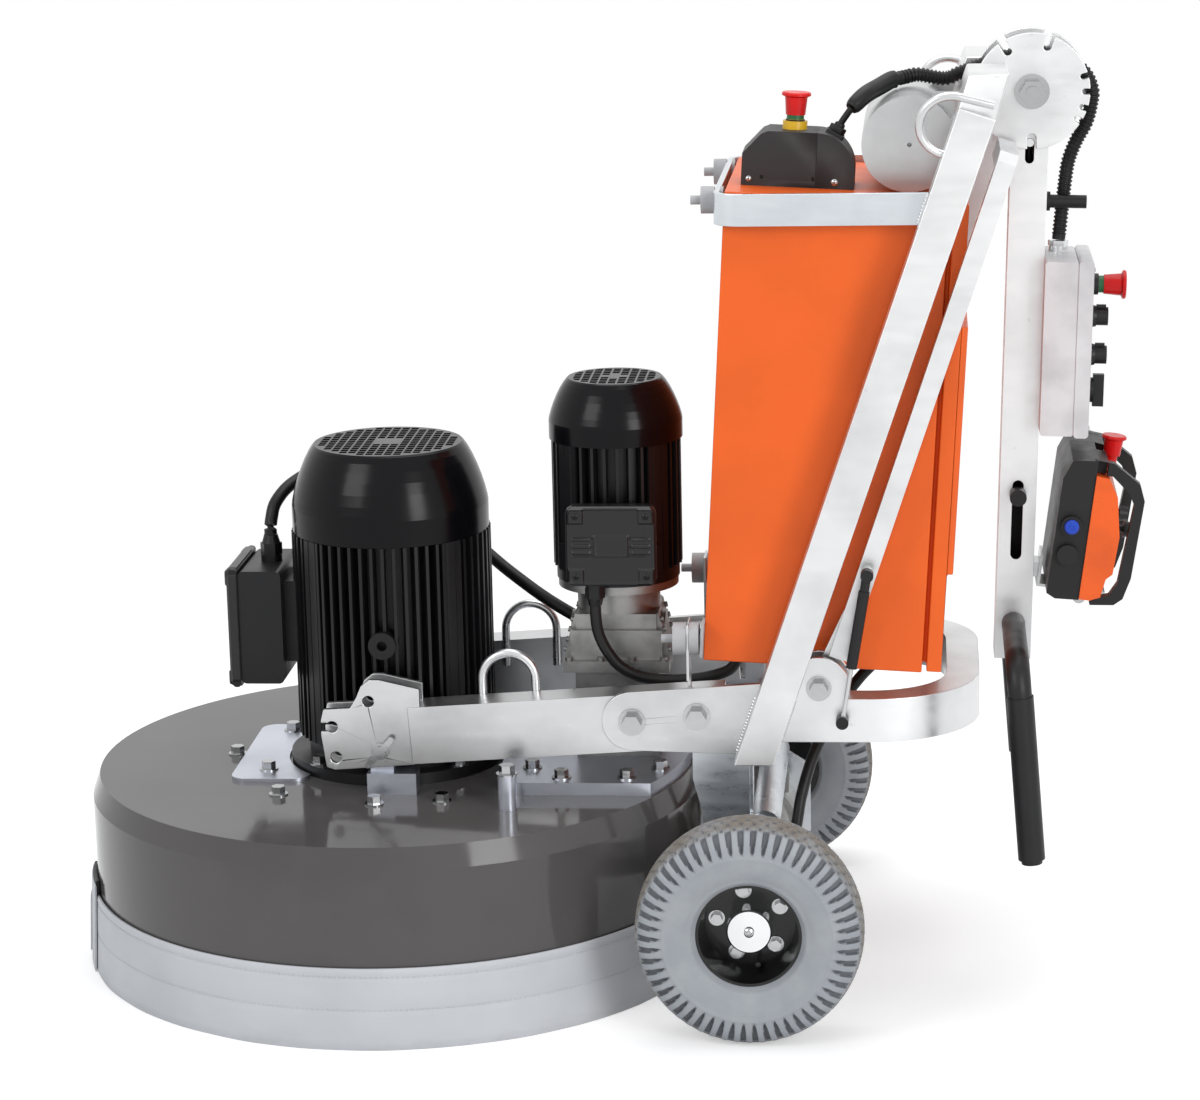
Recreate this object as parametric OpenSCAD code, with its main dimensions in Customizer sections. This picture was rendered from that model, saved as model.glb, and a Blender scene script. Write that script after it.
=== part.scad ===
// Remote-controlled planetary concrete floor grinder, built as an assembly of separate parts.
// Millimetres. X runs to the rear of the machine, Y to its right-hand side, Z up.
// The origin is on the floor, at the middle of the outline.

/* [Grinding head] */
// Outside diameter of the head cover
cover_d = 870; // [840:1:900]
// Height of the flat top of the head cover above the floor
cover_top = 274; // [260:1:300]
// Wall of the head cover
cover_wall = 4; // [3:0.5:6]
// Height of the dust skirt
skirt_h = 112; // [90:1:130]
// Diameter of each grinding disc
disc_d = 270; // [230:1:300]

/* [Motors] */
// Diameter of the main motor over its fins
main_d = 280; // [260:1:290]
// Height of the top of the main motor
main_top = 731; // [700:1:760]
// Diameter of the planetary motor over its fins
small_d = 180; // [160:1:190]
// Height of the top of the planetary motor
small_top = 822; // [800:1:850]

/* [Chassis] */
// Width of the arm tubes
arm_w = 50; // [40:1:50]
// Height of the arm tubes
arm_h = 80; // [70:1:84]
// Side of the square leg tubes
leg_w = 50; // [44:1:54]
// Lean of the legs
leg_lean = 18.8; // [18.5:0.1:19]
// Thickness of the side plates
plate_t = 10; // [6:1:10]
// Height of the rear bow tube
bow_h = 60; // [50:1:62]
// Width of the rear bow tube
bow_w = 45; // [40:1:48]

/* [Wheels] */
// Outside diameter of the tyres
tyre_d = 303; // [296:1:310]
// Width of the tyres
tyre_w = 100; // [90:1:105]
// Diameter of the rim seat
rim_d = 140; // [130:1:146]
// Distance of each wheel's middle from the middle of the machine
wheel_y = 378; // [370:1:384]

/* [Cabinet] */
// Width of the electrical cabinet
cab_w = 380; // [340:1:386]
// Depth of the cabinet body
cab_d = 294; // [280:1:296]
// Height of the cabinet
cab_h = 636; // [600:1:638]
// Diameter of the counterweight
weight_d = 126; // [110:1:128]

/* [Mast] */
// Width of the mast tube seen from the side
mast_w = 50; // [44:1:52]
// Depth of the mast tube across the machine
mast_d = 64; // [58:1:66]
// Length of the mast below its pivot
mast_l = 785; // [760:1:800]
// Diameter of the mast pivot bolt
pivot_d = 20; // [16:1:24]
// Diameter of the handle grips
grip_d = 36; // [32:1:38]
// Distance of each grip from the middle
grip_y = 254; // [252:1:270]
// Diameter of the index discs
index_d = 154; // [146:1:160]

/* [Hidden] */
$fn = 48;
fit = 0.05;
gap = 0.5;
head_x = -297;
near = -1;
far = 1;

// Grinding head
cover_r = cover_d / 2;
cover_edge = cover_top - 30;
cover_low = 60;
cover_top_r = cover_r - 11;
skirt_gap = 0.3;
skirt_r = cover_r + skirt_gap;
shaft_r = 19;
spigot_r = 55;
flange_r = 152;
main_hole_r = 130;
sun_n = 48;
sat_n = 46;
ring_n = 112;
pinion_n = 16;
tool_h = 14;
gear_module = cover_d / 174;
orbit_r = (sun_n + sat_n) * gear_module / 2;
small_x = (ring_n + pinion_n) * gear_module / 2;
disc_t = 20;
spindle_r = 25;
drum_z = 70;
drum_h = 90;
drum_wall = 8;
drum_gap = 41;
drum_r = cover_r - cover_wall - drum_gap;
gear_z = 112;
gear_t = 26;
ring_z = drum_z + drum_h + 14;
ring_t = 26;
pinion_shaft_r = 14;
deck_t = 5;
deck_bolt_r = 234;

// Motors
main_r = main_d / 2;
main_core = main_r - 24;
main_fins = 56;
main_fin_t = 4.5;
main_cap_r = main_r - 2;
main_cap_z = main_top - 122;
main_shield = cover_top + 44;
grille_pitch = 12.8;
grille_hole = 10.2;
small_r = small_d / 2;
small_core = small_r - 16;
small_cap_r = small_r + 3;
small_cap_z = small_top - 84;
small_low = 545;
gear_plate_t = 18;
gear_plate_z = cover_top + gear_plate_t;
box_y = 70;

// Chassis
cab_x = 449.2;
cab_z = 466.3;
cab_tilt = 3.3;
cab_side = 15;
arm_in = max(main_r + 5, cab_w / 2 + cab_side - plate_t - arm_w);
arm_out = arm_in + arm_w;
arm_x = 46;
arm_z = 359;
arm_tilt = 3.72;
arm_l = 434;
tube_t = 4;
cheek_t = 8;
pin_x = 4;
pin_z = 337;
pin_r = 8;
plate_in = arm_out;
plate_out = plate_in + plate_t;
leg_in = plate_out;
leg_out = leg_in + leg_w;
leg_foot_x = 518.5;
leg_foot_z = 337;
cab_back_z = cab_z + cab_h * cos(cab_tilt) - cab_d * sin(cab_tilt);
weight_gap = 5.1;
weight_z = cab_back_z + weight_d / 2 + weight_gap;
leg_top_z = weight_z + 97.6;
leg_half = leg_w / 2 / cos(leg_lean);
bow_z = 365;
bow_top = bow_z + bow_h;
bow_out = leg_in + 30;
bow_in = bow_out - bow_w;
bow_x = 822;
bow_r = 150;
ear_t = 8;
ear_r = 42;
tilt_x = 606;
tilt_z = bow_top + 15;
tilt_r = 7;
tilt_w = 25;
tilt_in = bow_in + ear_t + 2;
tilt_out = bow_out - ear_t - 2;
tilt_foot = [631.7, 478];
tilt_lean = 18.47;
tilt_top = leg_top_z - 100;
tilt_end = 66;
tilt_l = (tilt_top - tilt_foot[1]) / cos(tilt_lean);
gas_y = bow_out + 15;
gas_low = [637.4, 397.5];
gas_up = [671, 599];
gas_len = norm(gas_up - gas_low);
gas_lean = atan2(gas_up[0] - gas_low[0], gas_up[1] - gas_low[1]);
gas_r = 7.5;
rod_r = 3;
rod_top = 125;
tube_low = 76;
tube_high = gas_len - 22;
hoop_t = 8;
hoop_out = leg_in + 10;
hoop_z = cab_back_z - 26.3;
hoop_h = 42;
hoop_r = 34;
hoop_gap = 5.5;
hoop_x = cab_front(hoop_z + hoop_h / 2) - hoop_t - hoop_gap;
carrier_t = 12;
carrier_out = plate_in;
carrier_in = carrier_out - carrier_t;
axle_x = 517;
axle_r = 12.5;
drive_r = 43;

// Wheels
tyre_r = tyre_d / 2;
rim_r = rim_d / 2;
axle_z = tyre_r;
rim_t = 4;
hub_r = 30;
rim_front = 30;
rim_back = -34;
dish = -28;
hub_end = 14;
axle_end = 8;
rim_bolts = 45;
rim_turn = 29.4;

// Cabinet
cab_t = 3;
cover_gap = 6;
panel_t = 20;
pod_near = -117;
pod_far = -33;
pod_mid = (pod_near + pod_far) / 2;
pod_x = 18;
pod_l = 150;
pod_h = 73;
pod_r = 52;
pod_c = [pod_x + pod_l - pod_r, pod_h - pod_r];
weight_r = weight_d / 2;
weight_x = leg_x(weight_z) - 69.1;
weight_y = 130;
mount_y = arm_out + 7;
mount_r = 22;
mount_low = [430, 500];
mount_up_z = hoop_z + 27;

// Mast
mast_z = leg_top_z - 38.1;
mast_x = leg_x(mast_z) + 73;
mast_lean = 1.57;
mast_half = mast_w / 2;
mast_y = mast_d / 2;
mast_up = 30;
disc_in = mast_y + 4;
disc_t_plate = 12;
disc_out = disc_in + disc_t_plate;
index_r = index_d / 2;
pivot_r = pivot_d / 2;
notch_w = 12;
notch_deep = 21;
notch_at = [-90, -32, -18, -1, 15.5, 71, 121.6];
lock_r = 5.5;
lock_z = -(index_r - 7);
knob_z = -552;
ctl_top = -224;
ctl_low = -461;
ctl_y = 75;
ctl_lid = 20;
ctl_x = mast_half;
ctl_out = 90;
estop_z = -264;
box_neck = 17;
dial_z = [-308, -361, -410];
bar_z = -735;
bar_r = 16;
grip_r = grip_d / 2;
grip_low = 268;
grip_turn = 5.9;
bend_r = 42;
peg_z = -153;
peg_r = 9;
peg_end = 80;
remote_y = 105;
remote_top = -486;
remote_low = -678;
remote_lean = 6;
remote_x = 40;

// Frames

module at_head() translate([head_x, 0, 0]) children();

module at_cabinet()
    at_head() translate([cab_x, 0, cab_z]) rotate([0, cab_tilt, 0]) children();

module at_mast()
    at_head() translate([mast_x, 0, mast_z]) rotate([0, mast_lean, 0]) children();

module at_remote()
    at_mast() translate([remote_x, 0, remote_low]) rotate([0, remote_lean, 0]) children();

module at_arm()
    translate([arm_x, 0, arm_z]) rotate([0, -arm_tilt, 0]) children();

module at_gas()
    translate([gas_low[0], 0, gas_low[1]]) rotate([0, gas_lean, 0]) children();

module both() { children(); mirror([0, 1, 0]) children(); }

// Shapes

module span(x0, x1, y0, y1, z0, z1)
    translate([x0, y0, z0]) cube([x1 - x0, y1 - y0, z1 - z0]);

// A flat shape drawn in X and Z, from one Y to another
module slab(y0, y1)
    translate([0, y1, 0]) rotate([90, 0, 0]) linear_extrude(y1 - y0) children();

module along_y(x, z, r, y0, y1)
    translate([x, y0, z]) rotate([-90, 0, 0]) cylinder(r = r, h = y1 - y0);

module along_x(x0, x1, y, z, r)
    translate([x0, y, z]) rotate([0, 90, 0]) cylinder(r = r, h = x1 - x0);

module along_z(x, y, r, z0, z1)
    translate([x, y, z0]) cylinder(r = r, h = z1 - z0);

module ring(r0, r1, z0, z1)
    difference() {
        along_z(0, 0, r1, z0, z1);
        along_z(0, 0, r0, z0 - 1, z1 + 1);
    }

module round_rect(x0, x1, y0, y1, r) {
    translate([x0 + r, y0]) square([x1 - x0 - 2 * r, y1 - y0]);
    translate([x0, y0 + r]) square([x1 - x0, y1 - y0 - 2 * r]);
    for (x = [x0 + r, x1 - r], y = [y0 + r, y1 - r]) translate([x, y]) circle(r);
}

module hex(af, h) cylinder(d = af / cos(30), h = h, $fn = 6);

// Hexagon bolt with washer, standing on a face that looks along Z
module bolt(af) {
    cylinder(d = af * 1.55, h = af * 0.12);
    translate([0, 0, af * 0.12]) hex(af, af * 0.6);
}

// Gear outline with straight-sided teeth that leave free play
function tooth(n, k, r, f) = let (a = (k + f) * 360 / n) [r * cos(a), r * sin(a)];

module gear_shape(n) {
    r = n * gear_module / 2;
    polygon([for (k = [0 : n - 1], s = [[-0.27, -1], [-0.12, 0.65], [0.12, 0.65], [0.27, -1]])
        tooth(n, k, r + s[1] * gear_module, s[0])]);
}

// Dome outline from radius r at z0 in to radius rt at z1, flatter than a quarter ellipse
dome_power = 1.55;
function dome(r, rt, z0, z1, n) =
    [for (i = [0 : n]) let (a = i * 90 / n)
        [rt + (r - rt) * pow(cos(a), dome_power), z0 + (z1 - z0) * pow(sin(a), dome_power)]];

// Round cord along hand-chosen points, one ring of sides at each point
function unit(v) = v / norm(v);
function cord_dir(p, i) = unit(p[min(i + 1, len(p) - 1)] - p[max(i - 1, 0)]);
function cord_side(d) = unit(cross(d, abs(d[1]) < 0.9 ? [0, 1, 0] : [1, 0, 0]));
function cord_ring(c, d, r, sides) =
    let (u = cord_side(d), v = cross(d, u))
    [for (k = [0 : sides - 1]) c + r * (cos(k * 360 / sides) * u + sin(k * 360 / sides) * v)];

module skin(rings, sides) {
    n = len(rings);
    polyhedron(
        points = [for (r = rings) each r],
        faces = concat(
            [[for (k = [0 : sides - 1]) k]],
            [for (i = [0 : n - 2], k = [0 : sides - 1])
                [i * sides + k, (i + 1) * sides + k,
                 (i + 1) * sides + (k + 1) % sides, i * sides + (k + 1) % sides]],
            [[for (k = [sides - 1 : -1 : 0]) (n - 1) * sides + k]]));
}

module cord(p, r, sides = 8)
    skin([for (i = [0 : len(p) - 1]) cord_ring(p[i], cord_dir(p, i), r, sides)], sides);

// Smooth curve through the points, with m steps between two of them
function curve_at(a, b, c, d, t) =
    0.5 * (2 * b + (c - a) * t + (2 * a - 5 * b + 4 * c - d) * t * t
        + (3 * b - a - 3 * c + d) * t * t * t);
function curve(p, m) = concat(
    [for (i = [0 : len(p) - 2], j = [0 : m - 1])
        curve_at(p[max(i - 1, 0)], p[i], p[i + 1], p[min(i + 2, len(p) - 1)], j / m)],
    [p[len(p) - 1]]);

// Grinding head

module head_cover() color("dimgray") at_head() difference() {
    rotate_extrude($fn = 96) polygon([
        [cover_r, cover_low], [cover_r, cover_edge], [cover_top_r, cover_top],
        [main_hole_r, cover_top], [main_hole_r, cover_top - cover_wall],
        [cover_top_r - 3, cover_top - cover_wall], [cover_r - cover_wall, cover_edge - 2],
        [cover_r - cover_wall, cover_low]]);
    along_z(small_x, 0, pinion_shaft_r + 24, cover_top - 20, cover_top + 1);
}

strap_h = skirt_h + 22;

module dust_skirt() color("silver") at_head() {
    rotate_extrude($fn = 96) polygon([
        [skirt_r, skirt_h], [skirt_r + 6, skirt_h], [skirt_r + 11, 0],
        [skirt_r + 4, 0], [skirt_r, skirt_h / 2]]);
    rotate(188) rotate_extrude(angle = 13, $fn = 96) polygon([
        [skirt_r + 1, skirt_h - 4], [skirt_r + 1, strap_h], [skirt_r + 8, strap_h],
        [skirt_r + 14, 0], [skirt_r + 9, 0]]);
}

plate_x = 220;
plate_y = 136;
plate_cut = flange_r + 4;
gear_plate_x = 160;
gear_plate_y = 190;
block_x = 16;
block_top = 304;
tongue_t = arm_w - 2 * tube_t - 2 * cheek_t - 3;
arm_mid = (arm_in + arm_out) / 2;
bush_x = 185;
bush_y = 249;
bush_h = 48;

module deck_plates() color("gainsboro") at_head() {
    translate([0, 0, cover_top]) linear_extrude(deck_t) difference() {
        round_rect(-plate_x, -110, -plate_y, plate_y, 22);
        circle(plate_cut, $fn = 96);
    }
    translate([0, 0, cover_top]) linear_extrude(gear_plate_t) difference() {
        intersection() {
            round_rect(gear_plate_x, cover_r, -gear_plate_y, gear_plate_y, 40);
            circle(cover_top_r - 4, $fn = 96);
        }
        translate([small_x, 0]) circle(pinion_shaft_r + 24);
    }
    both() {
        difference() {
            union() {
                span(pin_x - block_x - 4, pin_x + 48, flange_r + 2, arm_out - 4, cover_top, block_top);
                span(pin_x - block_x, pin_x + block_x, arm_mid - tongue_t / 2,
                    arm_mid + tongue_t / 2, block_top, pin_z);
                along_y(pin_x, pin_z, block_x, arm_mid - tongue_t / 2, arm_mid + tongue_t / 2);
            }
            along_y(pin_x, pin_z, pin_r + fit, arm_in, arm_out);
        }
        along_z(bush_x, bush_y, 13, cover_top, cover_top + bush_h);
    }
}

module head_bolts() color("lightgray") at_head() {
    for (a = [90, 180, 270]) rotate(a) translate([deck_bolt_r, 0, cover_top]) bolt(17);
    for (a = [126, 234, 292.5, 67.5]) rotate(a) translate([deck_bolt_r + 4, 0, cover_top]) bolt(17);
    for (y = [-90, 106]) translate([-172, y, cover_top + deck_t]) bolt(17);
    for (a = [45 : 90 : 315]) rotate(a) translate([flange_r - 13, 0, cover_top + 16]) bolt(17);
    for (x = [gear_plate_x + 45, cover_r - 52], y = [-120, 120])
        translate([x, y, gear_plate_z]) bolt(17);
    for (x = [gear_plate_x + 90, cover_r - 95], y = [-165, 165])
        translate([x, y, gear_plate_z]) bolt(17);
    for (s = [near, far]) translate([bush_x, s * bush_y, cover_top + bush_h]) bolt(19);
}

module main_motor_frame() color("#17181a") at_head() difference() {
    union() {
        along_z(0, 0, spigot_r, ring_z - 4, cover_top);
        along_z(0, 0, flange_r, cover_top, cover_top + 16);
        along_z(0, 0, main_core + 10, cover_top + 16, main_shield);
        translate([0, 0, main_shield]) linear_extrude(main_cap_z - main_shield) {
            circle(main_core, $fn = 96);
            for (k = [0 : main_fins - 1]) rotate((k + 0.5) * 360 / main_fins)
                translate([0, -main_fin_t / 2]) square([main_r, main_fin_t]);
            for (a = [45 : 90 : 315]) rotate(a) translate([0, -16]) square([main_r - 1, 32]);
        }
        both() along_y(4, 473, 19, main_core - 4, main_r + 7);
        span(-term_back, -main_core + 10, -44, 44, 424, 540);
    }
    along_z(0, 0, shaft_r + fit, 0, main_top);
    both() along_y(4, 473, 7, main_r - 12, main_r + 8);
}

// Square grille holes, trimmed by the round edge, round a plain middle
module grille_holes(r, mid) {
    n = ceil(r / grille_pitch);
    intersection() {
        circle(r, $fn = 96);
        for (i = [-n : n], j = [-n : n])
            if (norm([abs(i), abs(j)]) * grille_pitch < r - 2
                && norm([i, j]) * grille_pitch > mid)
                translate([i * grille_pitch, j * grille_pitch])
                    square(grille_hole, center = true);
    }
}

module fan_cap(r, rt, z0, z1, t, mid) {
    straight = (z1 - z0) * 0.3;
    inner = dome(r - t, rt - t, z0 + straight, z1 - t, 8);
    rotate_extrude($fn = 96) polygon(concat(
        [[r - t, z0], [r, z0]], dome(r, rt, z0 + straight, z1, 8), [[rt - t, z1]],
        [for (i = [8 : -1 : 0]) inner[i]]));
    translate([0, 0, z1 - t]) linear_extrude(t) difference() {
        circle(rt - t + 0.5, $fn = 96);
        grille_holes(rt - t - 2, mid);
    }
}

module main_fan_cover() color("#141516") at_head()
    fan_cap(main_cap_r, main_cap_r - 34, main_cap_z, main_top, 3, 24);

fan_z = main_cap_z + 26;
fan_r = main_cap_r - 24;

module main_rotor() color("dimgray") at_head() {
    along_z(0, 0, shaft_r, gear_z - 6, fan_z + 30);
    translate([0, 0, fan_z]) linear_extrude(6) circle(fan_r - 20);
    for (a = [0 : 45 : 315]) rotate(a) span(shaft_r, fan_r, -3, 3, fan_z, fan_z + 38);
    translate([0, 0, gear_z]) linear_extrude(gear_t) gear_shape(sun_n);
}

spindle_boss = 46;

module planet_drum() color("gray") at_head() difference() {
    union() {
        rotate_extrude($fn = 96) polygon([
            [40, drum_z], [drum_r, drum_z], [drum_r, drum_z + drum_h],
            [spigot_r + fit, drum_z + drum_h], [spigot_r + fit, drum_z + drum_h - drum_wall],
            [drum_r - drum_wall, drum_z + drum_h - drum_wall],
            [drum_r - drum_wall, drum_z + drum_wall], [40, drum_z + drum_wall]]);
        ring(spigot_r + fit, spigot_r + 30, drum_z + drum_h - 1, ring_z + ring_t);
        translate([0, 0, ring_z]) linear_extrude(ring_t) difference() {
            gear_shape(ring_n);
            circle(ring_n * gear_module / 2 - 24);
        }
        translate([0, 0, ring_z]) linear_extrude(10)
            circle(ring_n * gear_module / 2 - 20);
        for (a = [0 : 120 : 240]) rotate(a)
            along_z(orbit_r, 0, spindle_boss, drum_z - 8, gear_z - 4);
    }
    for (a = [0 : 120 : 240]) rotate(a) {
        along_z(orbit_r, 0, spindle_r + fit, drum_z - 9, gear_z);
    }
    along_z(0, 0, spigot_r + fit, drum_z + 20, cover_top);
}

// One grinding disc with its spindle, planet gear and three tool holders
module grinding_disc(k) color("darkgray") at_head() rotate(k * 120) translate([orbit_r, 0, 0]) {
    along_z(0, 0, disc_d / 2, tool_h, tool_h + disc_t);
    along_z(0, 0, spindle_boss - 4, tool_h + disc_t, drum_z - 8 - gap);
    along_z(0, 0, spindle_r, drum_z - 9, gear_z + gear_t);
    translate([0, 0, gear_z]) linear_extrude(gear_t) rotate(180 + 180 / sat_n) gear_shape(sat_n);
    for (a = [60 : 120 : 300]) rotate(a) {
        span(disc_d / 2 - 62, disc_d / 2 - 8, -26, 26, tool_h - 7, tool_h);
        for (y = [-14, 14]) span(disc_d / 2 - 56, disc_d / 2 - 16, y - 6, y + 6, 0, tool_h - 7);
    }
}

module grinding_disc_1() grinding_disc(0);
module grinding_disc_2() grinding_disc(1);
module grinding_disc_3() grinding_disc(2);

shaft_end = gear_plate_z + 60;

module planet_pinion() color("gray") at_head() translate([small_x, 0, 0]) {
    translate([0, 0, ring_z]) linear_extrude(ring_t) rotate(180 + 180 / pinion_n)
        gear_shape(pinion_n);
    along_z(0, 0, pinion_shaft_r, ring_z, shaft_end);
}

gear_case_y = 62;
cover_lean = -14;
gear_mid = 424;

module planet_gearbox() color("silver") at_head() translate([small_x, 0, 0]) difference() {
    union() {
        span(-58, 58, -gear_case_y, gear_case_y, gear_plate_z, gear_mid - 8);
        span(-74, 74, -gear_case_y - 10, gear_case_y + 10, gear_mid - 8, gear_mid + 8);
        span(-64, 64, -gear_case_y, gear_case_y, gear_mid + 8, 474);
        span(-56, 56, -56, 56, 474, 496);
        along_z(0, 0, 58, 496, small_low - 16);
        along_z(0, 0, small_r - 6, small_low - 16, small_low - 4);
        along_x(-66, 66, 0, 452, 36);
        for (x = [-66, -22, 22, 66], s = [near, far])
            translate([x, s * (gear_case_y + 4), gear_mid + 8]) hex(9, 5);
        for (m = [0, 1]) mirror([m, 0, 0]) translate([74, 0, gear_mid + 8]) rotate([0, cover_lean, 0]) {
            span(-9, 0, -50, 50, -2, 66);
            for (z = [10 : 15 : 55], y = [-42, 42]) along_x(-1, 4, y, z, 4);
        }
        for (x = [-46, 46]) along_y(x, gear_plate_z + 60, 9, -gear_case_y - 4, gear_case_y + 4);
    }
    along_z(0, 0, pinion_shaft_r + fit, gear_plate_z - 1, shaft_end + 4);
    for (x = [-46, 46], s = [near, far])
        along_y(x, gear_plate_z + 60, 5, s * gear_case_y - 8, s * gear_case_y + 8);
}

module planet_motor_frame() color("#17181a") at_head() translate([small_x, 0, 0]) {
    along_z(0, 0, small_r - 4, small_low - 4, small_low + 14);
    translate([0, 0, small_low + 14]) linear_extrude(small_cap_z - small_low - 14) {
        circle(small_core, $fn = 96);
        for (k = [0 : 31]) rotate((k + 0.5) * 360 / 32)
            translate([0, -2]) square([small_r, 4]);
        for (a = [45 : 90 : 315]) rotate(a) translate([0, -17]) square([small_r - 1, 34]);
    }
    for (a = [40 : 90 : 310]) rotate(a) span(small_r - 6, small_r + 4, -9, 9, 560, 598);
    span(-50, 50, -small_r - 2, -small_core + 10, 564, 654);
}

module planet_fan_cover() color("#141516") at_head() translate([small_x, 0, 0])
    fan_cap(small_cap_r, small_cap_r - 28, small_cap_z, small_top, 3, 16);

term_x = 221;
term_back = main_r + 8;
term_z = [398, 560];
term2_x = [-58, 60];
term2_z = [556, 662];
term2_y = small_r + 34;

// Terminal boxes with their lids and cable glands
module terminal_boxes() color("#101112") at_head() {
    translate([0, -box_y, 0]) slab(0, 2 * box_y)
        round_rect(-term_x + 12, -term_back, term_z[0], term_z[1], 8);
    slab(-box_y - 4, box_y + 4) round_rect(-term_x, -term_x + 12, term_z[0] - 4, term_z[1] + 4, 5);
    for (z = [430 : 33 : 530]) along_y(-term_x, z, 3, -40, 40);
    translate([-172, 0, term_z[1]]) { cylinder(r = 15, h = 10); translate([0, 0, 10]) hex(27, 16);
        translate([0, 0, 26]) cylinder(r1 = 13, r2 = 9.5, h = 12); }
    translate([small_x, 0, 0]) {
        slab(-term2_y + 10, -small_r - 2) round_rect(term2_x[0], term2_x[1], term2_z[0], term2_z[1], 8);
        slab(-term2_y, -term2_y + 10)
            round_rect(term2_x[0] - 2, term2_x[1] + 2, term2_z[0] - 2, term2_z[1] + 2, 10);
        for (x = [-44, 46], z = [term2_z[0] + 13, term2_z[1] - 13])
            along_y(x, z, 6, -term2_y - 3, -term2_y);
        for (x = [-36, 34], z = [594, 606, 618]) span(x - 14, x + 14, -term2_y - 2, -term2_y, z, z + 4);
        translate([-24, -term2_y + 20, term2_z[0] - 34]) {
            cylinder(r1 = 9.5, r2 = 12, h = 10);
            translate([0, 0, 10]) hex(24, 14);
            translate([0, 0, 24]) cylinder(r = 13, h = 10);
        }
    }
}

main_cable = [
    [-172, 0, 599.1], [-172, 0, 606], [-171, 4, 618], [-166, 16, 640], [-148, 48, 660], [-118, 100, 668],
    [-70, 150, 655], [0, 176, 615], [80, 168, 560], [150, 130, 512], [220, 100, 470],
    [290, 92, 436], [370, 96, 416], [440, 92, 420], [477, 84, 432], [489, 80, 443],
    [492, 80, 450], [492, 80, 456], [492, 80, 463]];
small_cable = [
    [small_x - 24, -104, 521.4], [small_x - 24, -104, 516], [small_x - 24, -104, 510],
    [small_x - 20, -103, 480], [small_x - 6, -100, 450], [small_x + 14, -97, 428],
    [small_x + 50, -95, 414], [430, -95, 414],
    [474, -92, 424], [489, -88, 438], [492, -88, 447], [492, -88, 455], [492, -88, 463]];

module motor_cables() color("#101010") at_head() {
    cord(curve(main_cable, 3), 9);
    cord(curve(small_cable, 3), 8);
}

// Chassis

function arm_top(x) = arm_z + (x - arm_x) * tan(arm_tilt) + arm_h / 2 / cos(arm_tilt);
function leg_x(z) = leg_foot_x + (z - leg_foot_z) * tan(leg_lean);
function cab_front(z) = cab_x + (z - cab_z) * tan(cab_tilt);
function on_cabinet(p) = [cab_x + p[0] * cos(cab_tilt) + p[2] * sin(cab_tilt), p[1],
    cab_z - p[0] * sin(cab_tilt) + p[2] * cos(cab_tilt)];

strap_x = mount_low[0] - 2;
strap_t = 4;

// Arm tubes with their front cheek plates, and the straps that carry the lower rubber mounts
module front_arms() color("lightgray") at_head() both() {
    at_arm() difference() {
        translate([0, arm_in, -arm_h / 2]) cube([arm_l, arm_w, arm_h]);
        translate([cheek_t, arm_in + tube_t, -arm_h / 2 + tube_t])
            cube([arm_l, arm_w - 2 * tube_t, arm_h - 2 * tube_t]);
    }
    for (y = [arm_in + tube_t, arm_out - tube_t - cheek_t]) difference() {
        slab(y, y + cheek_t) polygon([
            [arm_x + 4.5, 317], [-60, 309], [-71, 313], [-77, 357], [-77, 379], [-73, 395],
            [-36, 397], [-27, 412], [-20, 428], [-8, 437], [5, 437], [arm_x + 14, 424],
            [arm_x + 14, 398], [arm_x + 4.5, 398]]);
        along_y(-10.5, 406.4, 8, y - 1, y + cheek_t + 1);
        along_y(-57.5, 327, 8, y - 1, y + cheek_t + 1);
        along_y(-61.8, 370.2, 8, y - 1, y + cheek_t + 1);
        span(-90, -61.8, y - 1, y + cheek_t + 1, 364, 376);
        along_y(pin_x, pin_z, pin_r + 0.1, y - 1, y + cheek_t + 1);
    }
    difference() {
        union() {
            span(strap_x, strap_x + strap_t, arm_out - 22, arm_out - 1, arm_top(strap_x) - tube_t / 2,
                mount_low[1]);
            span(strap_x, strap_x + strap_t, arm_out - 22, mount_y + 18, 445, mount_low[1] + 22);
        }
        along_x(strap_x - 1, strap_x + strap_t + 1, mount_y, mount_low[1], 6.2);
    }
}

plate_x0 = 352;
plate_z0 = 384;
plate_bolt = [[352, 383.2], [440, 391.4]];

module side_plates() color("gainsboro") at_head() both() difference() {
    slab(plate_in, plate_out) {
        translate([plate_x0, plate_z0]) circle(41);
        polygon([[plate_x0 - 2.6, plate_z0 + 40.9], [leg_x(440) + leg_half, 441],
            [leg_x(leg_foot_z) + leg_half, leg_foot_z], [plate_x0, plate_z0 - 41]]);
    }
    for (p = plate_bolt) along_y(p[0], p[1], 8.2, plate_in - 1, plate_out + 1);
}

leg_l = (leg_top_z - leg_foot_z) / cos(leg_lean) + 30;

module leg_block(cut) translate([leg_foot_x, 0, leg_foot_z]) rotate([0, leg_lean, 0])
    span(-leg_w / 2 + cut, leg_w / 2 - cut, leg_in + cut, leg_out - cut, -30, leg_l);

leg_bend = 48;

// Leaning leg tubes, bent inward at the top to the index discs
module legs() color("gainsboro") at_head() both() difference() {
    union() {
        leg_block(0);
        translate([leg_foot_x, 0, leg_foot_z]) rotate([0, leg_lean, 0])
            span(-leg_w / 2, leg_w / 2, disc_out, leg_in + 1, leg_l - 30 - leg_w, leg_l);
    }
    span(300, 900, 0, 400, 0, leg_foot_z);
    span(600, 1100, 0, 400, leg_top_z, leg_top_z + 200);
    translate([leg_foot_x, 0, leg_foot_z]) rotate([0, leg_lean, 0]) {
        span(-leg_w / 2 + tube_t, leg_w / 2 - tube_t, leg_in + tube_t, leg_out - tube_t,
            -40, leg_l - 60 - leg_bend);
        translate([0, leg_out, leg_l - 30 - leg_bend]) rotate([45, 0, 0])
            span(-leg_w, leg_w, 0, 200, -100, 200);
    }
}

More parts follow.
